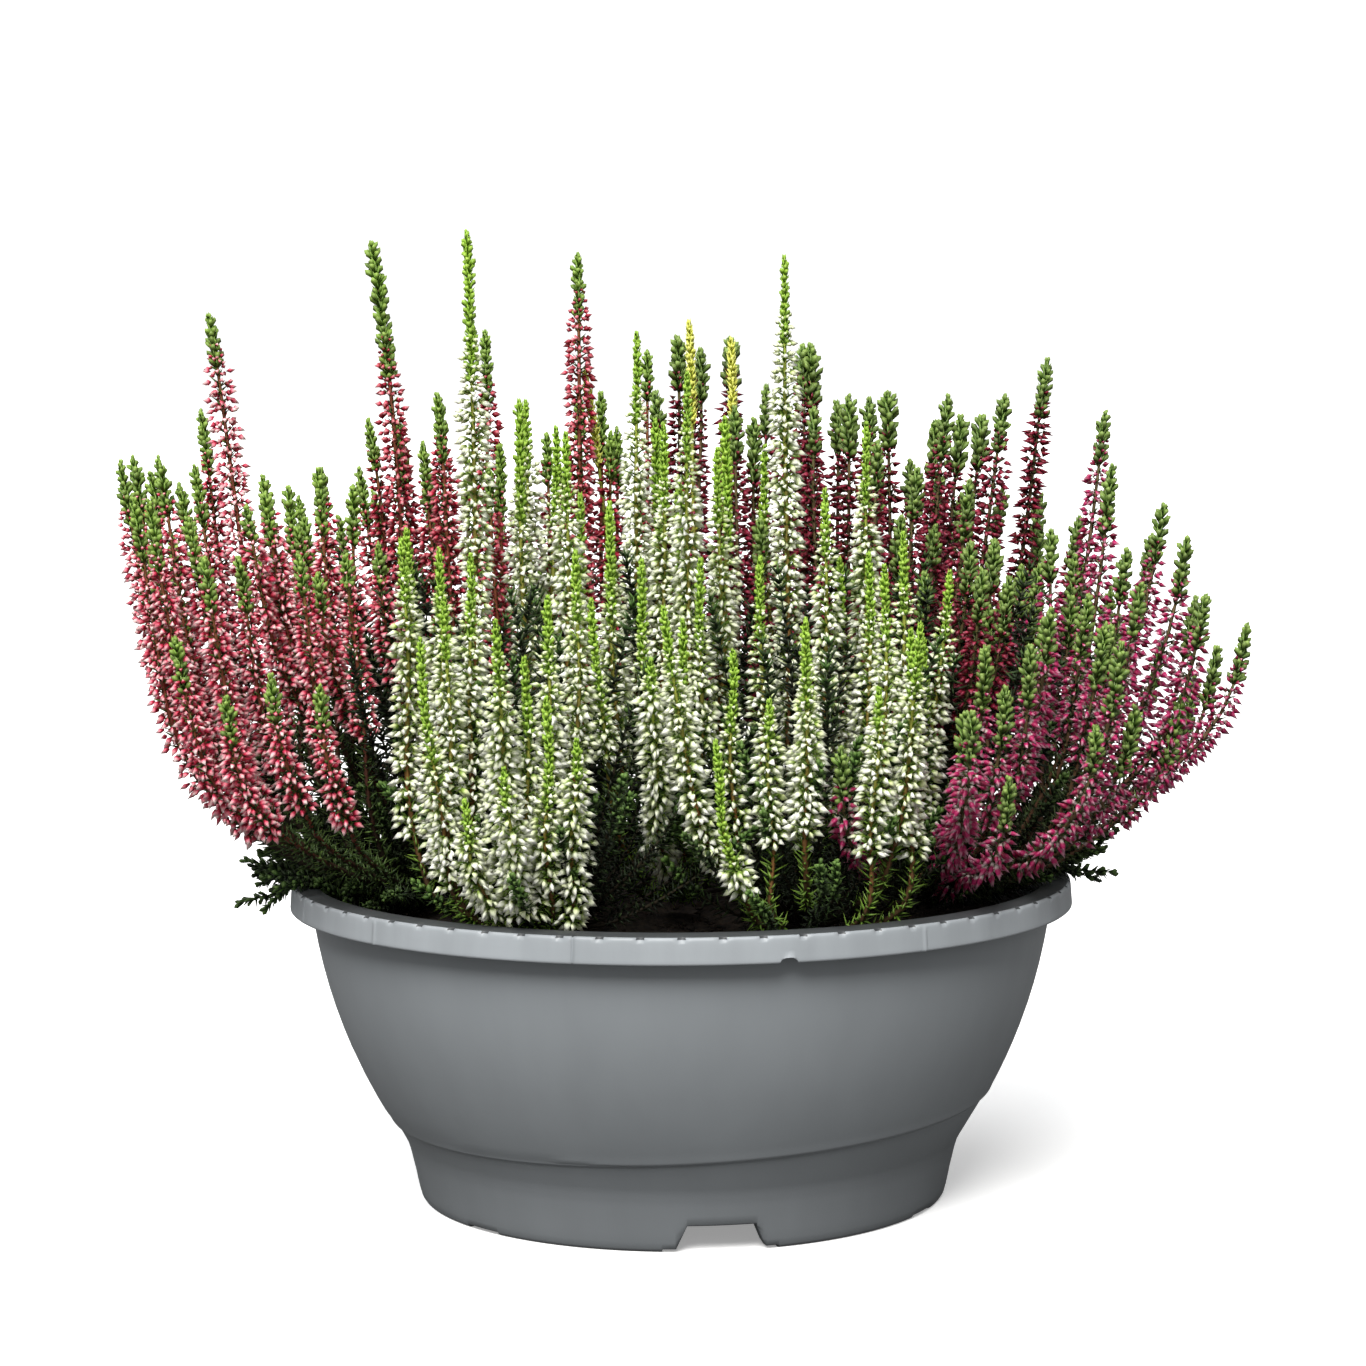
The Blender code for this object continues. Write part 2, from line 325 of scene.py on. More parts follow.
def scatter(shape, base, direction, length, width, strip, height, slot, sag=0.0):
    # copies of a shape: each point is base + x*side + y*other + z*direction, bent down by sag * z squared;
    # the copies are spun about their own direction, each by some radians more than the one before
    points, faces, uv = shape
    n = len(base)
    direction = unit(direction)
    helper = np.where(np.abs(direction[:, 2:]) > 0.9, [[1.0, 0, 0]], [[0, 0, 1.0]])
    right = unit(np.cross(direction, helper))
    up = np.cross(right, direction)
    spin = (np.arange(n) * copySpin)[:, None]
    side = right * np.cos(spin) + up * np.sin(spin)
    other = np.cross(direction, side)
    z = points[None, :, 2:] * length[:, None, None]
    x = points[None, :, :1] * width[:, None, None]
    y = points[None, :, 1:2] * width[:, None, None]
    placed = base[:, None] + x * side[:, None] + y * other[:, None] + z * direction[:, None]
    placed[:, :, 2] -= sag * length[:, None] * points[None, :, 2] ** 2
    places = np.empty((n, len(points), 2))
    places[:, :, 0] = stripInset + (1 - 2 * stripInset) * uv[None, :, 0]
    places[:, :, 1] = strip[:, None] + height * uv[None, :, 1]
    joined = faces[None] + (np.arange(n) * len(points))[:, None, None]
    return placed.reshape(-1, 3), joined.reshape(-1, 3), places.reshape(-1, 2), slot


def sideOf(forward):
    # a direction across, square to each forward one
    return unit(np.cross(forward, [[0.0, 1.0, 0.03]]))


# where along the colour strip a stem's first and last ring lie, and its two ends
sweepLook = {"rings": (0.02, 0.98), "ends": (0.005, 0.995)}


def sweep(path, radius, sides, strip, height, slot):
    # a round tube along a path, pinched to a point at both ends; the colour strip runs from its foot to its
    # tip
    forward = unit(np.gradient(path, axis=0))
    side = sideOf(forward)
    other = np.cross(forward, side)
    turn = np.arange(sides) * math.tau / sides
    rim = side[:, None] * np.cos(turn)[None, :, None] + other[:, None] * np.sin(turn)[None, :, None]
    rings = path[:, None] + rim * radius[:, None, None]
    count = len(path)
    points = np.concatenate([rings.reshape(-1, 3), path[:1], path[-1:]])
    quads = gridFaces(count, sides)
    i = np.arange(sides)
    k = (i + 1) % sides
    foot = np.stack([0 * i + count * sides, k, i], -1)
    tip = np.stack([0 * i + count * sides + 1, (count - 1) * sides + i, (count - 1) * sides + k], -1)
    uv = np.empty((count, sides, 2))
    uv[:, :, 0] = np.linspace(*sweepLook["rings"], count)[:, None]
    uv[:, :, 1] = strip + height * (i % 2)[None, :]
    ends = [[along, strip + height / 2] for along in sweepLook["ends"]]
    faces = np.concatenate([quads[:, [0, 1, 2]], quads[:, [0, 2, 3]], foot, tip])
    return points, faces, np.concatenate([uv.reshape(-1, 2), ends]), slot


# heather: materials that read the strip a bud, leaf or stem lies on

# which band of the strips' height each kind has, and its roughness
heatherBand = {"Buds": (0.46, 0.98), "Leaves": (0.12, 0.42), "Needles": (0.25, 0.98), "Stems": (0.015, 0.10)}
heatherRough = {"Buds": 0.42, "Leaves": 0.5, "Needles": 0.6, "Stems": 0.6}
heatherGrain = {
    "stretch": (2.5, 90.0, 1.0), "detail": 1.0, "noise": (0.3, 0.7), "level": (0.82, 1.12), "specular": 0.35,
}

# each finish: colours from foot to tip, (place, red, green, blue) in screen values, at the low edge of its
# band and then at the high one. Low buds are young and high ones old; low leaves are old and dull and high
# ones young
heatherLook = {
    "pinkBuds": (
        [
            (0.0, 60, 64, 30), (0.14, 124, 36, 36), (0.34, 178, 22, 54), (0.66, 208, 52, 88),
            (0.94, 246, 180, 184),
        ],
        [
            (0.0, 88, 52, 32), (0.12, 166, 32, 50), (0.32, 220, 60, 94), (0.52, 246, 154, 168),
            (0.72, 255, 232, 226),
        ],
    ),
    "redBuds": (
        [
            (0.0, 64, 72, 32), (0.18, 102, 26, 30), (0.4, 142, 12, 38), (0.8, 168, 28, 56),
            (1.0, 214, 130, 138),
        ],
        [
            (0.0, 84, 48, 32), (0.16, 146, 26, 42), (0.4, 200, 46, 74), (0.68, 236, 140, 150),
            (1.0, 252, 222, 214),
        ],
    ),
    "whiteBuds": (
        [
            (0.0, 92, 128, 34), (0.24, 150, 180, 72), (0.44, 214, 226, 156), (0.8, 240, 246, 206),
            (1.0, 246, 250, 220),
        ],
        [
            (0.0, 106, 130, 46), (0.16, 176, 190, 112), (0.34, 240, 244, 220), (0.75, 254, 254, 246),
            (1.0, 248, 250, 230),
        ],
    ),
    "purpleBuds": (
        [
            (0.0, 56, 60, 32), (0.18, 124, 84, 72), (0.34, 118, 10, 42), (0.72, 128, 14, 58),
            (1.0, 198, 96, 134),
        ],
        [
            (0.0, 86, 72, 48), (0.2, 246, 228, 224), (0.36, 180, 42, 100), (0.6, 176, 34, 94),
            (0.84, 242, 190, 206),
        ],
    ),
    "crimsonBuds": (
        [(0.0, 60, 60, 30), (0.2, 84, 22, 28), (0.45, 98, 8, 30), (0.8, 112, 16, 40), (1.0, 150, 70, 84)],
        [
            (0.0, 76, 46, 32), (0.18, 128, 44, 50), (0.45, 142, 24, 54), (0.75, 168, 64, 88),
            (1.0, 222, 172, 178),
        ],
    ),
    "limeLeaves": (
        [(0.0, 54, 80, 26), (0.5, 84, 114, 38), (1.0, 118, 146, 58)],
        [(0.0, 100, 140, 30), (0.5, 138, 180, 48), (1.0, 174, 208, 84)],
    ),
    "greenLeaves": (
        [(0.0, 26, 38, 16), (0.5, 42, 62, 26), (1.0, 76, 96, 46)],
        [(0.0, 76, 108, 34), (0.5, 110, 146, 50), (1.0, 158, 186, 88)],
    ),
    "dullLeaves": (
        [(0.0, 24, 28, 14), (0.5, 38, 48, 24), (1.0, 66, 78, 42)],
        [(0.0, 70, 98, 40), (0.5, 100, 132, 54), (1.0, 148, 172, 88)],
    ),
    "yellowLeaves": (
        [(0.0, 130, 140, 40), (0.5, 172, 178, 60), (1.0, 204, 206, 96)],
        [(0.0, 176, 180, 52), (0.5, 208, 210, 86), (1.0, 232, 232, 140)],
    ),
    # painted shade: needles and stems near black at the low edge, for twigs deep inside the plant, and lighter
    # at the high one
    "shadeNeedles": (
        [(0.0, 10, 15, 7), (0.5, 16, 25, 10), (1.0, 28, 40, 18)],
        [(0.0, 44, 70, 28), (0.5, 66, 98, 38), (1.0, 104, 134, 62)],
    ),
    "shadeStems": (
        [(0.0, 24, 20, 14), (0.6, 40, 34, 22), (1.0, 46, 54, 30)],
        [(0.0, 34, 28, 20), (0.6, 54, 46, 30), (1.0, 60, 70, 38)],
    ),
    "redStems": (
        [
            (0.0, 30, 26, 18), (0.28, 42, 32, 22), (0.48, 76, 44, 32), (0.62, 124, 62, 46),
            (0.85, 132, 80, 52), (1.0, 96, 124, 50),
        ],
        [
            (0.0, 36, 30, 22), (0.28, 50, 36, 26), (0.48, 90, 52, 38), (0.62, 152, 76, 58),
            (0.85, 146, 92, 60), (1.0, 120, 144, 60),
        ],
    ),
    "limeStems": (
        [
            (0.0, 40, 32, 18), (0.2, 66, 48, 28), (0.42, 130, 88, 46), (0.68, 150, 150, 62),
            (1.0, 150, 182, 60),
        ],
        [
            (0.0, 46, 36, 22), (0.2, 80, 58, 34), (0.42, 152, 104, 58), (0.68, 172, 170, 78),
            (1.0, 170, 200, 76),
        ],
    ),
    "brownStems": (
        [(0.0, 54, 40, 28), (0.5, 94, 66, 48), (0.85, 98, 84, 54), (1.0, 84, 100, 48)],
        [(0.0, 70, 54, 40), (0.5, 122, 88, 66), (0.85, 120, 106, 70), (1.0, 104, 120, 60)],
    ),
}
heatherMade = {}


def heather(name):
    # colour = the first ramp at u mixed with the second at u by the place of v in the band, times a fine
    # streak by u and v
    if name in heatherMade:
        return heatherMade[name]
    kind = next(k for k in heatherBand if name.endswith(k))
    material, tree, shader = newMaterial(name)
    uv = tree.nodes.new("ShaderNodeUVMap")
    uv.uv_map = uvName
    split = addNode(tree, "SeparateXYZ", {0: uv.outputs[0]})
    where = ranged(tree, split.outputs[1], heatherBand[kind], (0, 1))
    low, high = [ramped(tree, split.outputs[0], [(place, tone(*colour)) for place, *colour in stops])
                 for stops in heatherLook[name]]
    grain = noise(tree, stretched(tree, uv.outputs[0], heatherGrain["stretch"]), 1.0, heatherGrain["detail"])
    level = ranged(tree, grain, heatherGrain["noise"], heatherGrain["level"])
    feed(tree, shader, {
        "Base Color": scaled(tree, mixed(tree, where, low, high), level),
        "Roughness": heatherRough[kind], "Specular IOR Level": heatherGrain["specular"],
    })
    heatherMade[name] = material
    return material


# heather: shoots

crownCentres = {
    "red_left": (-0.082, 0.0), "red_back": (-0.041, 0.071), "white_front": (-0.041, -0.071),
    "white_middle": (0.0, 0.0), "white_right": (0.041, -0.071), "purple_right": (0.082, 0.0),
    "crimson_back": (0.041, 0.071),
}

# leaf and sparse: lengths in mm from the tip, all leaves and then small buds; above: the height in mm where
# the buds begin at the first and beyond the second distance right or left of the middle, those two distances,
# and how much higher that is for shoots at the back; bud, girth, stand, rowGap: mm; rise: degrees between an
# old bud and the stem; perRow: buds; tip and lobes: the size of the scales and knobs of the leafy tip
plantLook = {
    "red_left": {
        "leaf": 15, "sparse": 18, "above": (146, 114, 122, 150, 34), "bud": 3.6, "girth": 0.98, "stand": 2.9,
        "rise": 86, "perRow": 8.5, "rowGap": 3.2, "tip": 1.15, "lobes": 1.35,
        "stems": "redStems", "leaves": "greenLeaves", "buds": "pinkBuds",
    },
    "red_back": {
        "leaf": 16, "sparse": 18, "above": (165, 165, 0, 1, 14), "bud": 3.6, "girth": 1.0, "stand": 2.9,
        "rise": 84, "perRow": 9.0, "rowGap": 3.2, "tip": 1.15, "lobes": 1.2,
        "stems": "redStems", "leaves": "greenLeaves", "buds": "redBuds",
    },
    "white_front": {
        "leaf": 18, "sparse": 20, "above": (121, 121, 0, 1, 44), "bud": 4.0, "girth": 1.04, "stand": 3.3,
        "rise": 92, "perRow": 9.4, "rowGap": 3.0, "tip": 0.95, "lobes": 0.85,
        "stems": "limeStems", "leaves": "limeLeaves", "buds": "whiteBuds",
    },
    "purple_right": {
        "leaf": 16, "sparse": 12, "above": (152, 138, 128, 162, 30), "bud": 4.3, "girth": 0.98, "stand": 1.9,
        "rise": 84, "perRow": 6.6, "rowGap": 3.4, "tip": 1.2, "lobes": 1.5,
        "stems": "brownStems", "leaves": "dullLeaves", "buds": "purpleBuds",
    },
    "crimson_back": {
        "leaf": 15, "sparse": 14, "above": (160, 160, 0, 1, 14), "bud": 3.8, "girth": 0.98, "stand": 2.7,
        "rise": 80, "perRow": 8.5, "rowGap": 3.3, "tip": 1.35, "lobes": 1.5,
        "stems": "brownStems", "leaves": "dullLeaves", "buds": "crimsonBuds",
    },
}
plantLook["white_middle"] = {
    **plantLook["white_front"], "leaf": 27, "sparse": 28, "above": (154, 154, 0, 1, 14),
}
plantLook["white_right"] = {
    **plantLook["white_front"], "leaf": 21, "sparse": 24, "above": (131, 131, 0, 1, 38),
}

# what some shoots do differently; share: how much of the way out the foot already goes
manner = {
    "": {},
    "pale": {"leaf": 8, "sparse": 30},
    "short": {"leaf": 12, "sparse": 14},
    "diag": {"leaf": 7, "sparse": 12, "share": 0.30},
    "low": {"leaf": 8, "sparse": 8, "above": (116, 116, 0, 1, 10)},
    "deep": {
        "leaf": 12, "sparse": 10, "above": (123, 123, 0, 1, 0), "perRow": 5.4, "rowGap": 3.7, "bud": 4.7,
        "rise": 90,
    },
    "outer": {"above": (136, 136, 0, 1, 0)},
    "mid": {"leaf": 8, "sparse": 12},
    "lime": {"leaf": 36, "lobes": 1.1, "tip": 1.05},
    "green": {"leaf": 30, "sparse": 20},
    "sprig": {"leaf": 60, "sparse": 1, "above": (200, 200, 0, 1, 0)},
    "lobed": {"leaf": 14, "sparse": 22, "lobes": 1.9, "tip": 1.4},
    "brown": {"leaf": 16, "sparse": 40, "perRow": 5.0, "bud": 2.6},
    "yellow": {
        "leaf": 26, "sparse": 40, "lobes": 0.8, "tip": 1.2, "perRow": 3.5,
        "leaves": "yellowLeaves", "stems": "limeStems",
    },
    "dark": {"leaf": 50, "sparse": 26, "lobes": 1.6, "tip": 1.3},
    "fill": {"leaf": 12, "sparse": 14, "perRow": 7.0, "rowGap": 3.8},
}

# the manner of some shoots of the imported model; the others have none
mannerOfNode = {
    "red_back_shoot_1": "dark", "white_front_shoot_6": "lime", "crimson_back_shoot_1": "lobed",
    "crimson_back_shoot_2": "lobed", "purple_right_shoot_1": "deep", "purple_right_shoot_8": "deep",
}

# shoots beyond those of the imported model: where their tips are, (right, back, up) in mm, and their manner
moreShoots = {
    "red_left": [
        (-174, -30, 255, ""), (-186, 30, 249, ""), (-178, -60, 243, ""), (-163, -40, 236, ""),
        (-169, 20, 251, ""), (-144, 10, 248, ""), (-141, -60, 240, "diag"), (-136, -50, 244, "diag"),
        (-133, -10, 245, ""), (-131, 20, 233, ""), (-119, -45, 252, ""), (-142, -75, 224, ""),
        (-151, -90, 225, "short"), (-122, -80, 225, "pale"), (-108, -70, 224, "pale"), (-111, -10, 245, ""),
        (-160, -95, 200, "short"), (-143, -105, 182, "short"), (-128, -110, 189, "short"),
        (-113, -108, 185, "pale"), (-128, -30, 232, "diag"), (-118, -62, 218, "diag"),
        (-100, -40, 226, "diag"), (-182, -10, 221, "short"), (-181, 60, 203, ""), (-187, 85, 224, ""),
    ],
    "red_back": [
        (-110, 40, 267, ""), (-100, 50, 266, ""), (-90, 30, 259, ""), (-84, 20, 276, ""),
        (-123, 60, 232, ""), (-63, 30, 258, "brown"), (-43, 60, 249, ""), (-28, 70, 276, "brown"),
        (-22, 50, 263, "brown"), (-11, 60, 291, "brown"), (-143, 110, 237, ""), (-121, 120, 248, ""),
        (-95, 130, 244, ""), (-68, 120, 236, ""), (-76, 60, 252, "fill"), (-56, 45, 244, "fill"),
        (-36, 80, 274, "fill"), (-92, 75, 244, "fill"), (-24, 40, 262, "fill"), (-112, 80, 240, "fill"),
        (-66, 15, 250, "fill"), (-46, 20, 262, "fill"),
    ],
    "white_front": [
        (-77, -80, 227, ""), (-74, -105, 213, ""), (-90, -70, 230, ""), (-54, -10, 274, "lime"),
        (-33, -90, 227, ""), (-48, -125, 196, ""), (-57, -120, 201, ""), (-81, -112, 201, "green"),
        (-41, -132, 184, "green"), (-32, -130, 171, "low"), (-54, -138, 163, "low"), (-67, -125, 152, "low"),
    ],
    "white_middle": [
        (-33, -30, 243, ""), (-42, 0, 265, ""), (-23, -50, 239, ""), (-12, -90, 224, ""), (1, -105, 206, ""),
        (-8, 20, 267, "lime"), (7, -60, 223, ""), (-28, -95, 212, ""), (-9, -110, 194, "low"),
        (0, -42, 248, ""), (13, -32, 258, ""), (30, 10, 258, ""), (16, -2, 268, "lime"),
    ],
    "white_right": [
        (17, -90, 195, ""), (27, -40, 222, ""), (40, -95, 205, ""), (62, -60, 224, ""), (65, -95, 222, ""),
        (53, -50, 222, ""), (73, -100, 202, ""), (28, -110, 181, "mid"), (62, -115, 185, "mid"),
        (11, -128, 170, "sprig"), (80, -60, 196, ""),
    ],
    "purple_right": [
        (126, -20, 229, ""), (149, 0, 250, ""), (134, -60, 209, ""), (137, -80, 201, ""),
        (141, -90, 196, ""), (153, -10, 222, ""), (154, -40, 212, ""), (178, 0, 204, ""), (189, 20, 186, ""),
        (168, 40, 224, ""), (98, -85, 195, ""), (103, -100, 183, ""), (111, -100, 196, ""),
        (119, -70, 203, ""), (103, -112, 155, "deep"), (89, -118, 177, "deep"), (50, -118, 166, "deep"),
        (132, -98, 170, "deep"), (147, -78, 174, "outer"), (166, -50, 175, ""), (174, 60, 183, ""),
        (187, 60, 172, ""), (164, 90, 191, ""), (120, 20, 214, "fill"), (140, 30, 218, "fill"),
        (112, 0, 208, "fill"), (134, -10, 206, "fill"), (152, 25, 206, "fill"), (104, -30, 204, "fill"),
        (146, -25, 196, "fill"),
    ],
    "crimson_back": [
        (0, 60, 295, "lobed"), (8, 50, 291, "brown"), (27, 40, 266, ""), (45, 60, 292, "lobed"),
        (61, 50, 273, "lobed"), (69, 60, 273, ""), (75, 50, 275, "lobed"), (76, -10, 233, ""),
        (83, 10, 249, ""), (92, 50, 265, ""), (102, 60, 266, "lobed"), (109, 50, 266, "lobed"),
        (99, -10, 245, ""), (97, -40, 226, ""), (106, -30, 226, ""), (100, -50, 217, ""),
        (110, -40, 214, ""), (124, 0, 205, ""), (4, 30, 301, "yellow"), (19, 45, 295, "yellow"),
        (-33, 40, 284, "yellow"), (16, 110, 247, ""), (46, 120, 255, ""), (77, 130, 247, ""),
        (107, 120, 235, ""), (135, 100, 236, ""), (-15, 120, 244, ""), (145, 60, 230, ""),
        (-8, 45, 276, "fill"), (6, 70, 284, "fill"), (20, 30, 270, "fill"), (32, 65, 278, "fill"),
        (48, 35, 270, "fill"), (58, 75, 272, "fill"), (70, 25, 258, "fill"), (84, 65, 250, "fill"),
        (90, 25, 228, "fill"), (96, 80, 246, "fill"), (112, 30, 222, "fill"), (118, 70, 240, "fill"),
        (128, 35, 214, "fill"), (132, 70, 226, "fill"), (40, 90, 272, "fill"), (62, 0, 222, "fill"),
        (84, -10, 214, "fill"), (28, 5, 232, "fill"),
    ],
}

# a crown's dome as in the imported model: radius and base in metres, flattest in degrees, and share, how much
# of the way out a shoot's foot goes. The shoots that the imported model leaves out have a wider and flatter
# dome: wide in metres, widest in degrees, and squash. spread (metres), short, long, lean and tipBow shape the
# bow; sunk: metres
crownLook = {
    "radius": 0.038, "base": 0.100, "flattest": 28, "share": 0.88, "wide": 0.0405, "widest": 24,
    "squash": 0.62, "spread": 0.074, "short": 0.12, "long": 0.40, "lean": 0.16, "tipBow": 0.45, "points": 60,
    "waves": (9, 8), "sunk": 0.012,
}


def shootPath(plant, tip, wave, dice, share, loose):
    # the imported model's cubic curve: its foot is on the crown's dome under the tip, or as near to that as the
    # dome reaches, and it bows outwards only if the tip is far beyond the foot; sine waves of a millimetre or
    # less are added. Loose shoots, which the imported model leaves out, stand on a wider and flatter dome
    look = crownLook
    radius, lowest, squash = look["radius"], look["flattest"], 1.0
    if loose:
        radius, lowest, squash = look["wide"], look["widest"], look["squash"]
    centre = np.array([*crownCentres[plant], look["base"]])
    out = tip - centre
    out[2] = 0
    distance = np.linalg.norm(out)
    out = out / max(distance, 1e-6)
    foothold = min(distance * share, radius * math.cos(math.radians(lowest)))
    rise = math.acos(foothold / radius)
    leave = out * math.cos(rise) + np.array([0, 0, math.sin(rise)])
    foot = centre + leave * radius * np.array([1.0, 1.0, squash])
    length = np.linalg.norm(tip - foot)
    beyond = min(1.0, (distance - foothold) / look["spread"])
    upright = unit(out * look["lean"] * min(1.0, 2 * beyond) + np.array([0, 0, 1.0]))
    low = foot + leave * length * (look["short"] + look["long"] * beyond**3)
    high = tip - upright * length * look["tipBow"]
    t = np.linspace(0, 1, look["points"])[:, None]
    s = 1 - t
    path = foot * s**3 + low * 3 * s * s * t + high * 3 * s * t * t + tip * t**3
    swing = dice.uniform(0, math.tau, 2)
    bulge = np.sin(math.pi * t) * wave
    for axis, (turns, start) in enumerate(zip(look["waves"], swing)):
        path[:, axis] += (bulge * np.sin(t * turns + start))[:, 0]
    return np.concatenate([(foot - leave * look["sunk"])[None], path])


def reach(path):
    # distance of each point of a path from its tip
    steps = np.linalg.norm(np.diff(path, axis=0), axis=1)
    return np.concatenate([[0], np.cumsum(steps[::-1])])[::-1]


def pick(path, distance):
    # the places and forward directions at some distances from the tip, by linear interpolation
    away = reach(path)
    forward = unit(np.gradient(path, axis=0))
    place = np.stack([np.interp(distance, away[::-1], path[::-1, a]) for a in range(3)], -1)
    ahead = unit(np.stack([np.interp(distance, away[::-1], forward[::-1, a]) for a in range(3)], -1))
    return place, ahead


def around(path, far, angle):
    # places on the path at distances from the tip, the way ahead and the way out at an angle round it
    place, ahead = pick(path, far)
    side = sideOf(ahead)
    return place, ahead, side * np.cos(angle)[:, None] + np.cross(ahead, side) * np.sin(angle)[:, None]


def strips(dice, kind, where, n, height, spread=0.16):
    # places in a kind's colour band: where from 0 (low edge) to 1 (high edge), with some scatter
    low, high = heatherBand[kind]
    return low + (high - low - height) * np.clip(where + dice.normal(0, spread, n), 0, 1)


# young: the share of a full row that the first row has; turn: radians from one row to the next; the others
# are by how much places vary, in shares of the gap, and angles, in radians
whorlLook = {
    "young": 0.45, "turn": 1.9, "rowVaries": 0.10, "countVaries": 0.45, "angleVaries": 0.14,
    "placeVaries": 0.20,
}


def whorls(start, end, gap, perRow, dice, grow=None):
    # rows of pieces round a stem, from start to end off the tip: gives distances, angles and each one's share
    # of grow
    look = whorlLook
    rows = np.arange(start, end, gap)
    rows = rows + dice.normal(0, gap * look["rowVaries"], len(rows))
    share = np.ones(len(rows)) if grow is None else np.clip((rows - start) / grow, 0, 1)
    vary = dice.uniform(-look["countVaries"], look["countVaries"], len(rows))
    count = np.maximum(1, np.round(perRow * (look["young"] + (1 - look["young"]) * share) + vary)).astype(int)
    which = np.repeat(np.arange(len(rows)), count)
    number = np.arange(len(which)) - np.repeat(np.cumsum(count) - count, count)
    angle = number / count[which] * math.tau + which * look["turn"]
    angle = angle + dice.normal(0, look["angleVaries"], len(which))
    distance = rows[which] + dice.normal(0, gap * look["placeVaries"], len(which))
    return distance, angle, share[which]


slotNumbers = {"stems": 0, "leaves": 1, "buds": 2}
leafStrip = 0.016   # width of one leaf's, stem's or bud's own colour strip
budStrip = 0.018

# half-widths in mm at distances in mm from the tip, and at the foot
stemLook = {"points": 14, "sides": 4, "half": ([0, 10, 60], [0.35, 0.5, 0.75]), "footHalf": 1.15}


def stemChunk(path, total, dice):
    # a round tube whose half-width is read off a curve of the distance from the tip
    spots = total * (1 - np.linspace(0, 1, stemLook["points"]))
    places, halves = stemLook["half"]
    thick = np.interp(spots, [*(p * mm for p in places), total], [*halves, stemLook["footHalf"]]) * mm
    strip = strips(dice, "Stems", 0.5, 1, leafStrip)[0]
    return sweep(pick(path, spots)[0], thick, stemLook["sides"], strip, leafStrip, slotNumbers["stems"])


# curves over growth from 0 to 1: a bud's length, stalk, girth and colour; old, young and riseVaries: degrees;
# least: the shortest stalk in mm, and ahead: how far stalks slant; scaleAhead, scaleVaries, scalePast (beyond
# the stalk) and scaleHalf: mm; scaleColour: when old, and how much more when young
budLook = {
    "start": 0.80, "length": ([0, 0.3, 1], [0.50, 0.72, 1.0]), "lengthVaries": (0.72, 1.15), "old": 8,
    "young": 34, "riseVaries": 11, "aimVaries": 0.09, "least": 0.5, "stalk": ([0, 1], [0.35, 1.0]),
    "stalkVaries": (0.05, 1.0), "stalkPower": 0.7, "girth": ([0, 1], [0.70, 1.0]),
    "girthVaries": (0.85, 1.15), "colour": ([0, 1], [0.10, 0.68]),
    "colourVaries": 0.30, "ahead": 0.35, "sag": 0.10,
    "scaleAhead": 0.8, "scaleVaries": 0.35, "scalePast": (1.0, 2.6), "scaleHalf": (0.40, 0.68),
    "scaleColour": (0.20, 0.30),
}


def budChunks(look, path, leafEnd, flowerEnd, sparse, dense, bud, dice):
    # buds on short stalks, the young ones near the tip smaller and pointing more upwards, and a green scale
    # along every second stalk
    gap = look["rowGap"] * mm
    perRow = look["perRow"] * dense
    far, angle, share = whorls(leafEnd * budLook["start"], flowerEnd, gap, perRow, dice, sparse)
    place, ahead, out = around(path, far, angle)
    n = len(far)
    long = look["bud"] * mm * (curve(share, budLook["length"]) * dice.uniform(*budLook["lengthVaries"], n))
    vary = dice.normal(0, budLook["riseVaries"], n)
    rise = np.radians(look["rise"] + budLook["old"] * share + vary - budLook["young"] * (1 - share))
    aim = ahead * np.cos(rise)[:, None] + out * np.sin(rise)[:, None]
    aim = aim + dice.normal(0, budLook["aimVaries"], (n, 3))
    vary = dice.uniform(*budLook["stalkVaries"], n) ** budLook["stalkPower"]
    stand = (budLook["least"] + look["stand"] * curve(share, budLook["stalk"]) * vary) * mm
    wide = look["girth"] * mm * curve(share, budLook["girth"]) * dice.uniform(*budLook["girthVaries"], n)
    foot = place + out * stand[:, None] + ahead * (stand * budLook["ahead"])[:, None]
    strip = strips(dice, "Buds", curve(share, budLook["colour"]), n, budStrip, budLook["colourVaries"])
    buds = scatter(bud, foot, aim, long, wide, strip, budStrip, slotNumbers["buds"], sag=budLook["sag"])
    kept = np.arange(n) % 2 == 0
    m = kept.sum()
    aim = foot[kept] - place[kept] + ahead[kept] * budLook["scaleAhead"] * mm
    aim = aim + dice.normal(0, budLook["scaleVaries"] * mm, (m, 3))
    long = stand[kept] + dice.uniform(*budLook["scalePast"], m) * mm
    wide = dice.uniform(*budLook["scaleHalf"], m) * mm
    old, more = budLook["scaleColour"]
    strip = strips(dice, "Leaves", old + more * (1 - share[kept]), m, leafStrip)
    return [buds, scatter(needleShape, place[kept], aim, long, wide, strip, leafStrip, slotNumbers["leaves"])]


# rows: first one, how far past the leaves' end, gap in mm, and how many in a row; curves: over mm from the
# tip; colour: at the tip and at the leaves' end
scaleLook = {
    "rows": (0.3, 4, 1.5, 4.0), "lean": ([0, 4, 20], [0.14, 0.46, 0.70]), "aimVaries": 0.06, "off": 0.3,
    "length": ([0, 3], [1.6, 2.9]), "lengthVaries": (0.85, 1.15), "half": 0.66, "colour": (0.92, 0.55),
}
knobLook = {
    "rows": (1.0, 5, 2.3, 3.6), "lean": ([0.8, 4], [0.25, 0.95]), "leanVaries": (0.8, 1.2),
    "length": ([1, 5], [1.9, 3.0]), "lengthVaries": (0.75, 1.2), "half": ([1, 6], [0.58, 0.84]),
    "halfVaries": (0.9, 1.1), "colour": (0.95, 0.55), "fineBefore": -0.03,
}


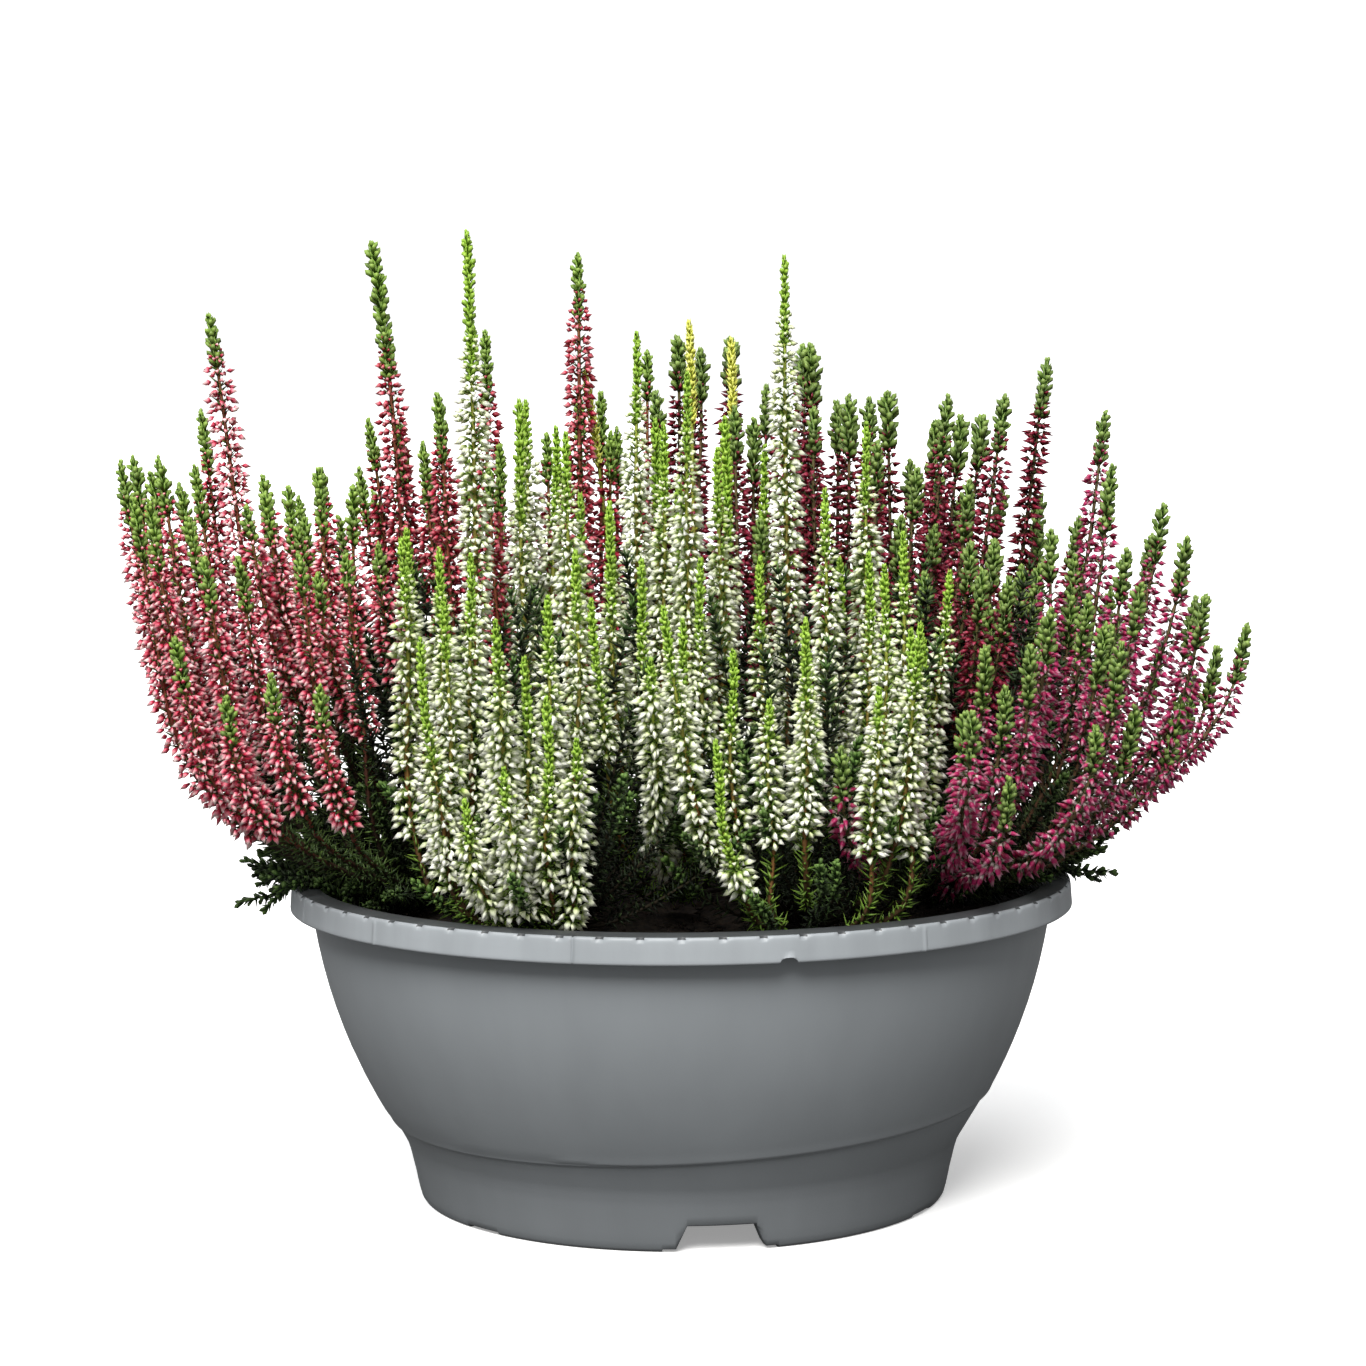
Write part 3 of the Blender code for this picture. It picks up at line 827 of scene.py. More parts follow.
def leafRows(look, leafEnd, dice):
    # rows over the leafy tip, and each piece's colour by its share of the way to the leaves' end
    first, past, gap, perRow = look["rows"]
    far, angle, _ = whorls(first * mm, leafEnd + past * mm, gap * mm, perRow, dice)
    return far, angle, np.interp(far, [0, leafEnd], look["colour"])


def tipChunks(look, path, tip, leafEnd, dice):
    # the leafy tip: scales pressed to the stem, and knobs, which are stubby side twigs covered in scales
    far, angle, bright = leafRows(scaleLook, leafEnd, dice)
    place, ahead, out = around(path, far, angle)
    n = len(far)
    aim = ahead + out * curve(far / mm, scaleLook["lean"])[:, None]
    aim = aim + dice.normal(0, scaleLook["aimVaries"], (n, 3))
    long = curve(far / mm, scaleLook["length"]) * mm * look["tip"]
    long = long * dice.uniform(*scaleLook["lengthVaries"], n)
    wide = np.full(n, scaleLook["half"] * mm * look["tip"])
    strip = strips(dice, "Leaves", bright, n, leafStrip)
    base = place + out * scaleLook["off"] * mm
    scales = scatter(needleShape, base, aim, long, wide, strip, leafStrip, slotNumbers["leaves"])
    far, angle, bright = leafRows(knobLook, leafEnd, dice)
    n = len(far)
    long = look["lobes"] * curve(far / mm, knobLook["length"]) * mm
    long = long * dice.uniform(*knobLook["lengthVaries"], n)
    wide = look["lobes"]**0.5 * curve(far / mm, knobLook["half"]) * mm
    wide = wide * dice.uniform(*knobLook["halfVaries"], n)
    place, ahead, out = around(path, far, angle)
    lean = curve(far / mm, knobLook["lean"]) * dice.uniform(*knobLook["leanVaries"], n)
    strip = strips(dice, "Leaves", bright, n, leafStrip)
    shape = knobShape if tip[1] < knobLook["fineBefore"] else smallKnob
    aim = ahead + out * lean[:, None]
    return [scales, scatter(shape, place, aim, long, wide, strip, leafStrip, slotNumbers["leaves"])]


# over: how many mm up among the flowers they begin; gap: mm between rows for tips in front of frontTo metres
# and for the others; length and half-width: mm
lowLook = {
    "over": 14, "gap": (2.5, 3.1), "frontTo": -0.05, "perRow": 4.4, "ahead": 0.8, "aimVaries": 0.25,
    "length": (3.0, 6.5), "half": (0.46, 0.72),
}


def lowChunk(path, tip, flowerEnd, total, dice):
    # dull green needles on the stem below the flowers
    gap = lowLook["gap"][0 if tip[1] < lowLook["frontTo"] else 1]
    far, angle, _ = whorls(flowerEnd - lowLook["over"] * mm, total, gap * mm, lowLook["perRow"], dice)
    place, ahead, out = around(path, far, angle)
    n = len(far)
    aim = ahead * lowLook["ahead"] + out + dice.normal(0, lowLook["aimVaries"], (n, 3))
    long = dice.uniform(*lowLook["length"], n) * mm
    wide = dice.uniform(*lowLook["half"], n) * mm
    strip = strips(dice, "Leaves", 0.0, n, leafStrip)
    return scatter(needleShape, place, aim, long, wide, strip, leafStrip, slotNumbers["leaves"])


# waves: metres; leaves: the most of a shoot that they cover; shade: how far back, in metres from the bowl's
# middle, buds start to be higher up, and where they are highest; flowers and leastFlowers: the least mm of
# them in height and along the stem; together: how many shoots make up a piece; topRing: mm
shootLook = {
    "looseWave": 0.0012, "packedWave": 0.0006, "looseDense": 1.0, "packedDense": 1.25,
    "leafVaries": (0.8, 1.25), "sparseVaries": (0.85, 1.15), "leaves": 0.95,
    "shade": (-0.10, -0.045), "aboveVaries": 4, "flowers": 45, "leastFlowers": 4, "together": 5,
    "topRing": 0.4,
}


def shootChunks(plant, tip, way, dice, wave, dense, bud, loose):
    # one shoot: from its tip down, leaves to leafEnd, buds to flowerEnd and needles to its foot
    look = {**plantLook[plant], **manner[way]}
    path = shootPath(plant, np.array(tip, float), wave, dice, look.get("share", crownLook["share"]), loose)
    away = reach(path)
    total = away[0]
    leafEnd = min(look["leaf"] * mm * dice.uniform(*shootLook["leafVaries"]), total * shootLook["leaves"])
    sparse = look["sparse"] * mm * dice.uniform(*shootLook["sparseVaries"])
    # buds begin higher up on the shoots behind the front ones, which stand in the shade
    inside, outside, near, beyond, behind = look["above"]
    outer = smooth(np.abs(path[:, 0]), near * mm, beyond * mm)
    above = inside + (outside - inside) * outer + behind * smooth(tip[1], *shootLook["shade"]) * (1 - outer)
    above = np.minimum(above + dice.normal(0, shootLook["aboveVaries"]), tip[2] / mm - shootLook["flowers"])
    flowerEnd = max(float(away[np.argmax(path[:, 2] > above * mm)]), leafEnd + shootLook["leastFlowers"] * mm)
    chunks = [stemChunk(path, total, dice)]
    chunks += budChunks(look, path, leafEnd, flowerEnd, sparse, dense, bud, dice)
    chunks += tipChunks(look, path, tip, leafEnd, dice)
    chunks.append(lowChunk(path, tip, flowerEnd, total, dice))
    return chunks


def slotMaterials(plant, way):
    # a shoot's finishes in the order of their slots
    look = {**plantLook[plant], **manner[way]}
    return [heather(look[part]) for part in slotNumbers]


def nodeTip(node):
    # the tip of a packed shoot: the mean of its topmost ring of points
    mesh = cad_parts[node].data
    points = np.empty(len(mesh.vertices) * 3)
    mesh.vertices.foreach_get("co", points)
    points = points.reshape(-1, 3)
    top = points[:, 2].max()
    return points[points[:, 2] > top - shootLook["topRing"] * mm].mean(0)


# the bud of shoots whose tips are in front of a depth in metres, and of those behind them all
budDepths = ((-0.095, frontBud), (-0.02, middleBud), (0.04, backBud), (math.inf, farBud))


def budOf(depth, plant):
    # buds that the photograph's view sees closest have the most faces, but the many white ones have fewer
    if plant.startswith("white"):
        depth = max(depth, budDepths[0][0])
    return next(shape for limit, shape in budDepths if depth < limit)


def seedOf(name):
    # the sum of the name's character codes
    return sum(map(ord, name))


def makeShoots():
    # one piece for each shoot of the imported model, up to that one's own tip
    for node in sorted(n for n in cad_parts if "_shoot_" in n):
        plant = node.split("_shoot_")[0]
        way = mannerOfNode.get(node, "")
        dice = np.random.default_rng(seedOf(node) * 7 + 11)
        tip = nodeTip(node)
        bud = budOf(tip[1], plant)
        wave, dense = shootLook["packedWave"], shootLook["packedDense"]
        chunks = shootChunks(plant, tip, way, dice, wave, dense, bud, False)
        piece = addMesh("spike_" + node.replace("_shoot", ""), chunks, slotMaterials(plant, way))
        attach(piece, "root")
        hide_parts(node)


def makeMoreShoots():
    # some shoots together make up a piece; those of a plant with leaves of another colour are one piece more
    for plant, rows in moreShoots.items():
        groups = {}
        for number, (x, y, z, way) in enumerate(rows):
            leaves = manner[way].get("leaves", "")
            group = (leaves, 0 if leaves else number // shootLook["together"])
            groups.setdefault(group, []).append((number, x, y, z, way))
        for index, (_, members) in enumerate(sorted(groups.items())):
            chunks = []
            for number, x, y, z, way in members:
                dice = np.random.default_rng(number * 131 + seedOf(plant))
                tip = (x * mm, y * mm, z * mm)
                wave, dense = shootLook["looseWave"], shootLook["looseDense"]
                chunks += shootChunks(plant, tip, way, dice, wave, dense, budOf(tip[1], plant), True)
            piece = addMesh(f"spikes_{plant}_{index + 1}", chunks, slotMaterials(plant, members[0][4]))
            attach(piece, "root")


# low leafy twigs of each plant

# tall: how many tall twigs fill the plant with shade, slope: the lowest of them in degrees, lean: how far
# round the plant they stand, in degrees to either side of way; low: how many low ones stand round them; out:
# how many lie over the rim, which go way, in degrees, and up to fan to either side, long: their length in mm,
# up: their slope; light: the least and most painted light of a twig, which lifts its needles' colours up from
# painted shade
plainTwigs = {
    "light": (0.3, 0.9), "slope": 60, "lean": 180, "out": 0, "long": (44, 60), "fan": 0, "up": (4, 28),
}
twigLook = {
    "red_left": {
        "light": (0.35, 1.0), "tall": 34, "slope": 38, "lean": 115, "low": 38, "out": 54, "long": (44, 66),
        "way": 192, "fan": 72, "up": (0, 30),
    },
    "purple_right": {
        "light": (0.35, 1.0), "tall": 38, "slope": 34, "lean": 120, "low": 36, "out": 40, "long": (44, 66),
        "way": -12, "fan": 66, "up": (12, 36),
    },
    "red_back": {"tall": 20, "slope": 56, "low": 26, "out": 6, "way": 130, "fan": 50},
    "crimson_back": {"tall": 24, "slope": 52, "low": 26, "out": 6, "way": 50, "fan": 50},
    "white_front": {"light": (0.8, 2.2), "tall": 7, "low": 56, "way": 250},
    "white_middle": {"tall": 18, "low": 10, "way": 270},
    "white_right": {"light": (0.8, 2.2), "tall": 7, "low": 56, "way": 290},
}

# what all twigs share. In mm: tallLong, lowLong, start (off the crown's middle), raised (above its base) and
# half (at the foot and the tip); in degrees: tallTop, of the first tall twig, and lowRise, of the first low
# one and the last; rim: how evenly those over the rim spread, and how much more to the sides; bend: how much
# twigs curve up, and rimBend: the same for those over the rim, and how much less by turns; step and rimStep:
# those turns; wave: metres; least: metres that a twig stays above the soil, and lie: how much more, from the
# first to the second distance off the bowl's axis
twigForm = {
    "tallLong": (75, 108), "lowLong": (38, 70), "tallTop": 88, "lowRise": (66, 6), "riseVaries": 4,
    "turnVaries": 0.3, "rim": (0.4, 0.6), "start": 6, "raised": 2, "bend": 0.42, "rimBend": (0.10, 0.32),
    "step": 0.618, "rimStep": 0.382, "points": 7, "waves": 7, "wave": 0.0012, "waveWay": (1.0, -1.0, 0.3),
    "half": (0.8, 0.25), "sides": 3,
    "least": 0.0012, "lie": ((0.0115, 0.112, 0.125), (-0.010, 0.133, 0.145)),
}
# rows: the first in mm from the tip, the last as a share of the twig, and how many in a row; gap and size:
# for tall twigs and for the others; curves: over mm from the tip; colour is painted shade, darker further in
# from the tip
twigNeedles = {
    "rows": (0.5, 0.85, 3.8), "gap": (3.4, 2.6), "size": (1.55, 1.15), "lean": ([0, 8], [1.4, 0.6]),
    "aimVaries": 0.18, "length": 3.8, "grown": ([0, 6], [0.6, 1.0]), "lengthVaries": (0.7, 1.25),
    "half": 0.50, "colour": ([0, 6, 30], [0.75, 0.35, 0.0]),
}
# rows: first, last and gap in mm, and how many in a row; colour: painted shade, darker further in from the
# tip
twigKnobs = {
    "rows": (0.4, 16, 2.9, 2.8), "lean": ([0, 8], [0.3, 1.0]), "length": (2.4, 4.0), "half": (0.65, 0.9),
    "colour": ([0, 20], [0.75, 0.15]),
}
twigStem = (0.02, 0.05)   # place and height of a twig's colour strip
needleStrip = 0.02
goldenTurn = 2.39996      # radians


def byTurns(count):
    # spreads places from 0 to 1 evenly over a row of twigs, neighbours far from one another: number * step,
    # less its whole part
    return np.arange(count) * twigForm["step"] % 1


def twigAims(look, dice):
    # each twig's way round, rise and length: first the tall ones, then the low ones, then those over the rim
    steep, over = look["tall"], look["out"]
    n = steep + look["low"]
    turn = np.arange(n) * goldenTurn + dice.uniform(0, twigForm["turnVaries"], n)
    turn[:steep] = np.radians(look["way"] + look["lean"] * (2 * byTurns(steep) - 1))
    side = np.linspace(-1, 1, over)
    plain, cubed = twigForm["rim"]
    turn = np.concatenate([turn, np.radians(look["way"] + look["fan"] * (plain * side + cubed * side**3))])
    rise = np.concatenate([np.linspace(twigForm["tallTop"], look["slope"], steep),
                           np.linspace(*twigForm["lowRise"], n - steep),
                           np.interp(byTurns(over), [0, 1], look["up"])])
    rise = np.radians(rise + dice.normal(0, twigForm["riseVaries"], n + over))
    long = [dice.uniform(*twigForm["tallLong"], steep), dice.uniform(*twigForm["lowLong"], n - steep),
            dice.uniform(*look["long"], over)]
    return turn, rise, np.concatenate(long) * mm


def twigPath(centre, turn, rise, long, bend, dice):
    # a line from the crown, bent up by bend * length * s squared, with a slight wave, and held above soil and
    # rim
    form = twigForm
    aim = np.array([math.cos(turn) * math.cos(rise), math.sin(turn) * math.cos(rise), math.sin(rise)])
    foot = np.array([*centre, crownLook["base"] + form["raised"] * mm]) + aim * form["start"] * mm
    s = np.linspace(0, 1, form["points"])[:, None]
    path = foot + aim * long * s + np.array([0, 0, bend]) * long * s**2 * math.cos(rise)
    path = path + np.sin(s * form["waves"] + dice.uniform(0, 6)) * form["wave"] * np.array(form["waveWay"])
    away = np.linalg.norm(path[:, :2], axis=1)
    lie = form["least"] + sum(high * smooth(away, near, far) for high, near, far in form["lie"])
    path[:, 2] = np.maximum(path[:, 2], crownLook["base"] + lie)
    return path


def twigChunks(path, tall, lightSpan, dice):
    # a thin stem with needles all along, and scaly knobs at the tips of all but the tall ones
    form, look = twigForm, twigNeedles
    half = np.linspace(*form["half"], form["points"]) * mm
    chunks = [sweep(path, half, form["sides"], *twigStem, 0)]
    kind = 0 if tall else 1
    first, share, perRow = look["rows"]
    far, angle, _ = whorls(first * mm, reach(path)[0] * share, look["gap"][kind] * mm, perRow, dice)
    place, ahead, out = around(path, far, angle)
    n = len(far)
    aim = ahead * curve(far / mm, look["lean"])[:, None] + out + dice.normal(0, look["aimVaries"], (n, 3))
    size = look["size"][kind] * mm
    long = look["length"] * size * curve(far / mm, look["grown"]) * dice.uniform(*look["lengthVaries"], n)
    # each twig's painted light, which scales the painted shade of its colour curves
    light = dice.uniform(*lightSpan)
    strip = strips(dice, "Needles", curve(far / mm, look["colour"]) * light, n, needleStrip)
    wide = np.full(n, look["half"] * size)
    chunks.append(scatter(needleShape, place, aim, long, wide, strip, needleStrip, 1))
    if tall:
        return chunks
    look = twigKnobs
    first, last, gap, perRow = look["rows"]
    far, angle, _ = whorls(first * mm, last * mm, gap * mm, perRow, dice)
    place, ahead, out = around(path, far, angle)
    n = len(far)
    aim = ahead + out * curve(far / mm, look["lean"])[:, None]
    long = dice.uniform(*look["length"], n) * mm
    wide = dice.uniform(*look["half"], n) * mm
    strip = strips(dice, "Needles", curve(far / mm, look["colour"]) * light, n, needleStrip)
    chunks.append(scatter(smallKnob, place, aim, long, wide, strip, needleStrip, 1))
    return chunks


def makeCrowns():
    # one piece of twigs for each plant: tall ones that curve up, low ones, and straighter ones that sag over
    # the rim
    for plant, centre in crownCentres.items():
        dice = np.random.default_rng(seedOf(plant) + 5)
        look = {**plainTwigs, **twigLook[plant]}
        inner = look["tall"] + look["low"]
        chunks = []
        for i, (turn, rise, long) in enumerate(zip(*twigAims(look, dice))):
            least, less = twigForm["rimBend"]
            bend = twigForm["bend"] if i < inner else least - less * (i * twigForm["rimStep"] % 1)
            path = twigPath(centre, turn, rise, long, bend, dice)
            chunks += twigChunks(path, i < look["tall"], look["light"], dice)
        piece = addMesh("twigs_" + plant, chunks, [heather("shadeStems"), heather("shadeNeedles")])
        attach(piece, "root")
        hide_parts(plant + "_crown")


# bowl

# the wall's outer side is an arc of a circle of arcRadius mm round (arcR, arcZ); ledge: the lower edge of the
# upper wall, (height, rise to the right, rise to the back); rows: (radius, height) in mm, or heights on the
# arc, or heights above the ledge; cone: two points of the straight line that the wall below the ledge keeps
# to; follow: how much rows above and below the ledge follow its tilt; bead: (height, middle, width) of its
# rounded edge; the cut-outs of the foot: where, in degrees, how high, and how wide at the top and the foot;
# footGaps: (degrees from there, width) of the low gaps between the feet
bowlLook = {
    "columns": 240, "arcRadius": 181.0, "arcR": -51.9, "arcZ": 124.2, "skin": 1.0, "wall": 2.8,
    "inside": [(0.0, 11.8), (45, 11.8), (84, 11.9), (88.6, 13.2), (90.6, 15.4)],
    "insideHeights": (26, 45, 64, 80, 92, 100, 104, 108.6),
    "outsideHeights": (108.6, 107, 104, 100, 95, 89, 82, 75, 68, 61, 55),
    "ledge": (33.3, 0.0457, 0.0184), "ledgeRadius": 103, "ledgeSoft": 0.6, "bead": (0.15, 1.1, 0.5),
    "ledgeRows": (
        14, 8, 4.5, 2.4, 1.3, 0.9, 0.6, 0.4, 0.2, 0.0, -0.2, -0.4, -0.6, -0.9, -1.3, -2.4, -4.0, -5.5,
    ),
    "follow": ([-5.5, -2.4, 2.4, 14], [0.45, 1, 1, 0.5]), "cone": ((95.5, 18.3), (103.0, 31.0)),
    "foot": [
        (96.9, 22.0), (95.9, 20.0), (95.5, 18.6), (95.2, 17.8), (94.6, 15.5), (93.9, 12.5), (93.2, 9.6),
        (92.6, 6.6), (91.9, 3.4), (91.3, 1.3), (90.7, 0.4), (89.8, 0.0), (88.4, 0.0), (87.6, 0.1),
        (87.2, 0.6), (87.2, 3.5), (87.2, 6.5), (87.2, 9.4), (86.6, 10.0), (60, 10.0), (0, 10.0),
    ],
    "cutAt": -82.2, "cutHigh": 9.1, "cutTop": 22.0, "cutFoot": 29.7, "cutEdge": 0.2, "footRadius": 90,
    "footGaps": ((55, 15.0), (125, 15.0), (-125, 15.0), (-55, 15.0), (0, 37.6), (180, 37.6)),
    "gapHigh": 1.0, "gapReach": 0.1, "gapEdge": 0.3, "ringFrom": 87.0, "ringTo": 10,
}

# bites: small scallops in the outer edge of the rim's top; splits: fine grooves; ribs: low raised lines;
# notch: half round, in the lower edge. Places are in degrees and sizes in mm; an edge is soft between its two
# distances. outer and high: where the outer face and the top begin; splitTop: (how deep it is there, from
# which radius, from which height); lip: the face's lower end, (from which radius, to which height, its
# height); and last the height in metres above which faces in the bites take the top's dark finish of dust
# and painted shade
rimLook = {
    "radius": 135.0, "bites": 66, "biteDeep": 0.8, "biteEdge": (1.0, 1.3), "between": (3.4, 5.7, 8.0, 9.8),
    "splits": (-104.6, -158.7, 12.0, 95.0), "splitDeep": 0.45, "splitEdge": (0.2, 0.34),
    "splitTop": (0.5, 130, 109.9),
    "ribs": (-55.2, -137.0, 40.0, 131.0), "ribHigh": 0.25, "ribEdge": (0.5, 0.8), "ribTop": 109.0,
    "notchAt": -75.7, "notchHalf": 2.9, "notchHigh": 1.8, "notchEdge": 3.05, "notchSteps": 9,
    "outer": (133.5, 134.3), "high": (108.8, 109.4), "lip": (133.4, 103.0, 101.45), "dusty": 0.1092,
    "top": [
        (125.4, 107.4), (125.5, 109.4), (125.9, 110.2), (126.6, 110.6), (129.5, 110.55), (132.4, 110.3),
        (133.6, 110.1),
    ],
    "face": [
        (133.6, 110.1), (134.2, 109.8), (134.4, 109.4), (134.5, 108.9), (134.6, 108.0), (134.8, 105.5),
        (134.95, 103.2), (135.05, 102.2),
    ],
    "under": [
        (135.05, 102.2), (135.0, 101.7), (134.7, 101.45), (134.1, 101.5), (133.7, 102.0), (133.5, 104.6),
        (133.2, 107.0), (132.2, 107.9), (129.5, 108.0), (127.4, 107.6), (125.4, 107.4),
    ],
}

# each finish: brightness, and how strong the streaks are; the rim top's dark finish is dust and painted shade
# under the plants
plastics = {"satinGreyPlastic": (1.0, 0.03), "wornRimPlastic": (1.1, 0.10), "dustyRimPlastic": (0.2, 0.2)}
satin, worn, dusty = range(3)
# clouds and grain: the scale and detail of a noise; damp: painted shade, the brightness by height as a share of
# dampTo metres, darker towards the foot
plasticLook = {
    "clouds": (14.0, 3.0), "cloudEnds": (0.3, 0.7), "dark": (0.262, 0.283, 0.300),
    "light": (0.286, 0.308, 0.326),
    "damp": ((0.0, 0.62), (0.18, 0.66), (0.32, 0.84), (0.62, 0.90), (0.94, 1.0)), "dampTo": 0.1,
    "streaks": (70, 70, 9), "streakDetail": 4.0, "streakEnds": (0.3, 0.7), "rough": (0.40, 0.50),
    "grain": (900.0, 2.0), "grainBump": (0.08, 0.0003),
}


def arcRadius(z, inset):
    # the wall's radius at a height, inset by some mm
    return bowlLook["arcR"] + np.sqrt((bowlLook["arcRadius"] - inset) ** 2 - (z - bowlLook["arcZ"]) ** 2)


def turnProfile(rows, turns):
    # each row's radius and height, repeated for each turn
    rows = np.array(rows)
    return rows[:, :1] + 0 * turns, rows[:, 1:] + 0 * turns


def turned(r, z, turns):
    # points in metres from radii and heights in mm
    return np.stack([r * np.cos(turns), r * np.sin(turns), z], -1) * mm


def apart(turns, degrees):
    # distance in mm round the rim from an angle
    away = (turns - math.radians(degrees) + math.pi) % math.tau - math.pi
    return np.abs(away) * rimLook["radius"]


def marks(turns, places, edge):
    # 1 at each place round the rim and 0 away from it
    return np.max([1 - smooth(apart(turns, at), *edge) for at in places], axis=0)


def bothSides(near, far):
    # the two edges of a mark on either side of its middle
    return (-far, -near, near, far)


def makeRim():
    # a closed ring turned from a profile; its columns stand closer at each bite, split, rib and notch
    look = rimLook
    biteAngles = [(i + 0.5) * 360 / look["bites"] for i in range(look["bites"])]
    steps = [(at, s) for at in biteAngles for s in (*bothSides(*look["biteEdge"]), *look["between"])]
    steps += [(at, s) for at in look["splits"] for s in bothSides(*look["splitEdge"])]
    steps += [(at, s) for at in look["ribs"] for s in bothSides(*look["ribEdge"])]
    notchSteps = np.sin(np.linspace(-1.5, 1.5, look["notchSteps"])) * look["notchHalf"]
    steps += [(look["notchAt"], s) for s in notchSteps]
    steps += [(look["notchAt"], s) for s in (-look["notchEdge"], look["notchEdge"])]
    turns = np.unique(np.round([(math.radians(at) + s / look["radius"]) % math.tau for at, s in steps], 6))
    bites = marks(turns, biteAngles, look["biteEdge"])
    splits = marks(turns, look["splits"], look["splitEdge"])
    ribs = marks(turns, look["ribs"], look["ribEdge"])
    share = apart(turns, look["notchAt"]) / look["notchHalf"]
    cut = look["notchHigh"] * np.sqrt(np.clip(1 - share ** 2, 0, 1))
    splitSink, splitFrom, splitAbove = look["splitTop"]
    lipFrom, lipTo, lipHeight = look["lip"]
    chunks = []
    for part, slot in (("top", dusty), ("face", worn), ("under", satin)):
        r, z = turnProfile(look[part], turns)
        outer = smooth(r, *look["outer"])
        high = smooth(z, *look["high"])
        r = r - look["biteDeep"] * bites * outer * high - look["splitDeep"] * splits * outer
        r = r + look["ribHigh"] * ribs * outer * (z < look["ribTop"])
        z = z - splitSink * splits * (z > splitAbove) * (r > splitFrom)
        z = np.where((r > lipFrom) & (z < lipTo), np.maximum(z, lipHeight + cut), z)
        points = turned(r, z, turns).reshape(-1, 3)
        faces = gridFaces(len(r), len(turns))[:, ::-1]
        # faces of the rim's face inside the bites near the top take the top's dark finish: dust and painted
        # shade in the hollows
        inBite = (bites > 0.5)[faces % len(turns)].any(1) & (points[faces, 2].min(1) > look["dusty"])
        dark = inBite & (part == "face")
        for chosen, finish in ((faces[~dark], slot), (faces[dark], dusty)):
            if len(chosen):
                chunks.append((points, chosen, np.zeros((len(points), 2)), finish))
    return chunks


def makeWall():
    # rows of (radius, height) turned round the axis. The rows of the ledge follow its tilted plane, under
    # which the wall is thinner by the skin; near the foot, points under the roof of a cut-out or gap are
    # raised to it
    look = bowlLook
    halves = (look["cutTop"] / 2, look["cutFoot"] / 2)
    edges = [(k, s) for k in (0, 180) for half in halves for s in bothSides(half, half + look["cutEdge"])]
    for at, width in look["footGaps"]:
        edges += [(at, s) for s in bothSides(width / 2, width / 2 + look["gapEdge"])]
    edges = [math.radians(look["cutAt"] + at) + math.asin(s / look["footRadius"]) for at, s in edges]
    turns = np.concatenate([np.arange(look["columns"]) * math.tau / look["columns"], edges])
    turns = np.unique(np.round(turns % math.tau, 6))
    upper = look["inside"] + [(arcRadius(z, look["wall"]), z) for z in look["insideHeights"]]
    upper += [(arcRadius(z, 0.0), z) for z in look["outsideHeights"]]
    r, z = turnProfile(upper, turns)
    low, toRight, toBack = look["ledge"]
    tilt = (toRight * np.cos(turns) + toBack * np.sin(turns)) * look["ledgeRadius"]
    offsets = np.array(look["ledgeRows"])[:, None]
    ledgeZ = low + offsets + tilt * curve(offsets, look["follow"])
    beadHigh, beadAt, beadWide = look["bead"]
    below = 1 - smooth(offsets, -look["ledgeSoft"], look["ledgeSoft"])
    ledgeR = arcRadius(ledgeZ, 0.0) - look["skin"] * below
    ledgeR = ledgeR + beadHigh * np.exp(-((offsets - beadAt) / beadWide) ** 2)
    (lowR, lowZ), (highR, highZ) = look["cone"]
    line = lowR + (ledgeZ - lowZ) * (highR - lowR) / (highZ - lowZ)
    ledgeR = np.where(ledgeZ < highZ, np.minimum(ledgeR, line), ledgeR)
    footR, footZ = turnProfile(look["foot"], turns)
    r = np.concatenate([r, ledgeR, footR])
    z = np.concatenate([z, ledgeZ, footZ])
    roof = np.zeros_like(turns)
    for k in (0, 180):
        turn = turns - math.radians(look["cutAt"] + k)
        half = np.abs(look["footRadius"] * np.sin(turn))
        slope = np.clip((halves[1] - half) / (halves[1] - halves[0]), 0, 1) * look["cutHigh"]
        roof = np.maximum(roof, np.where(np.cos(turn) > 0, slope, 0))
    for at, width in look["footGaps"]:
        turn = turns - math.radians(look["cutAt"] + at)
        across = np.abs(look["footRadius"] * np.sin(turn))
        inGap = (np.cos(turn) > 0) & (across < width / 2 + look["gapReach"])
        roof = np.maximum(roof, np.where(inGap, look["gapHigh"], 0))
    z = np.where((r > look["ringFrom"]) & (z < look["ringTo"]), np.maximum(z, roof), z)
    faces = gridFaces(len(r), len(turns))[:, ::-1]
    return turned(r, z, turns).reshape(-1, 3), faces, np.zeros((r.size, 2)), satin


def bowlPlastic(name, level, wear):
    # clouds of two greys, darker towards the foot by painted shade, times upright streaks
    look = plasticLook
    material, tree, shader = newMaterial(name)
    place = addNode(tree, "TexCoord", {}).outputs["Object"]
    clouds = noise(tree, place, *look["clouds"])
    shades = zip(look["cloudEnds"], (look["dark"], look["light"]))
    greys = [(end, (*(c * level for c in shade), 1)) for end, shade in shades]
    height = addNode(tree, "SeparateXYZ", {0: place}).outputs["Z"]
    share = ranged(tree, height, (0, look["dampTo"]), (0, 1))
    # painted shade: the base colour darkens towards the foot
    damp = ramped(tree, share, [(at, (value, value, value, 1)) for at, value in look["damp"]])
    paint = mixed(tree, 1.0, ramped(tree, clouds, greys), damp, "MULTIPLY")
    streaks = noise(tree, stretched(tree, place, look["streaks"]), 1.0, look["streakDetail"])
    strength = ranged(tree, streaks, look["streakEnds"], (1 - wear, 1 + wear))
    feed(tree, shader, {
        "Base Color": scaled(tree, paint, strength), "Roughness": ranged(tree, clouds, (0, 1), look["rough"]),
        "Normal": bumped(tree, noise(tree, place, *look["grain"]), *look["grainBump"]),
    })
    return material


def makeBowl():
    # the ring of the rim and the wall in one piece, with a finish for the wall, the rim's face and its top,
    # dark from dust and painted shade
    finishes = [bowlPlastic(name, *finish) for name, finish in plastics.items()]
    bowl = addMesh("bowl", makeRim() + [makeWall()], finishes, withUv=False)
    closeSeams(bowl)
    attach(bowl, "root")
    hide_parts("planter_bowl")


# soil

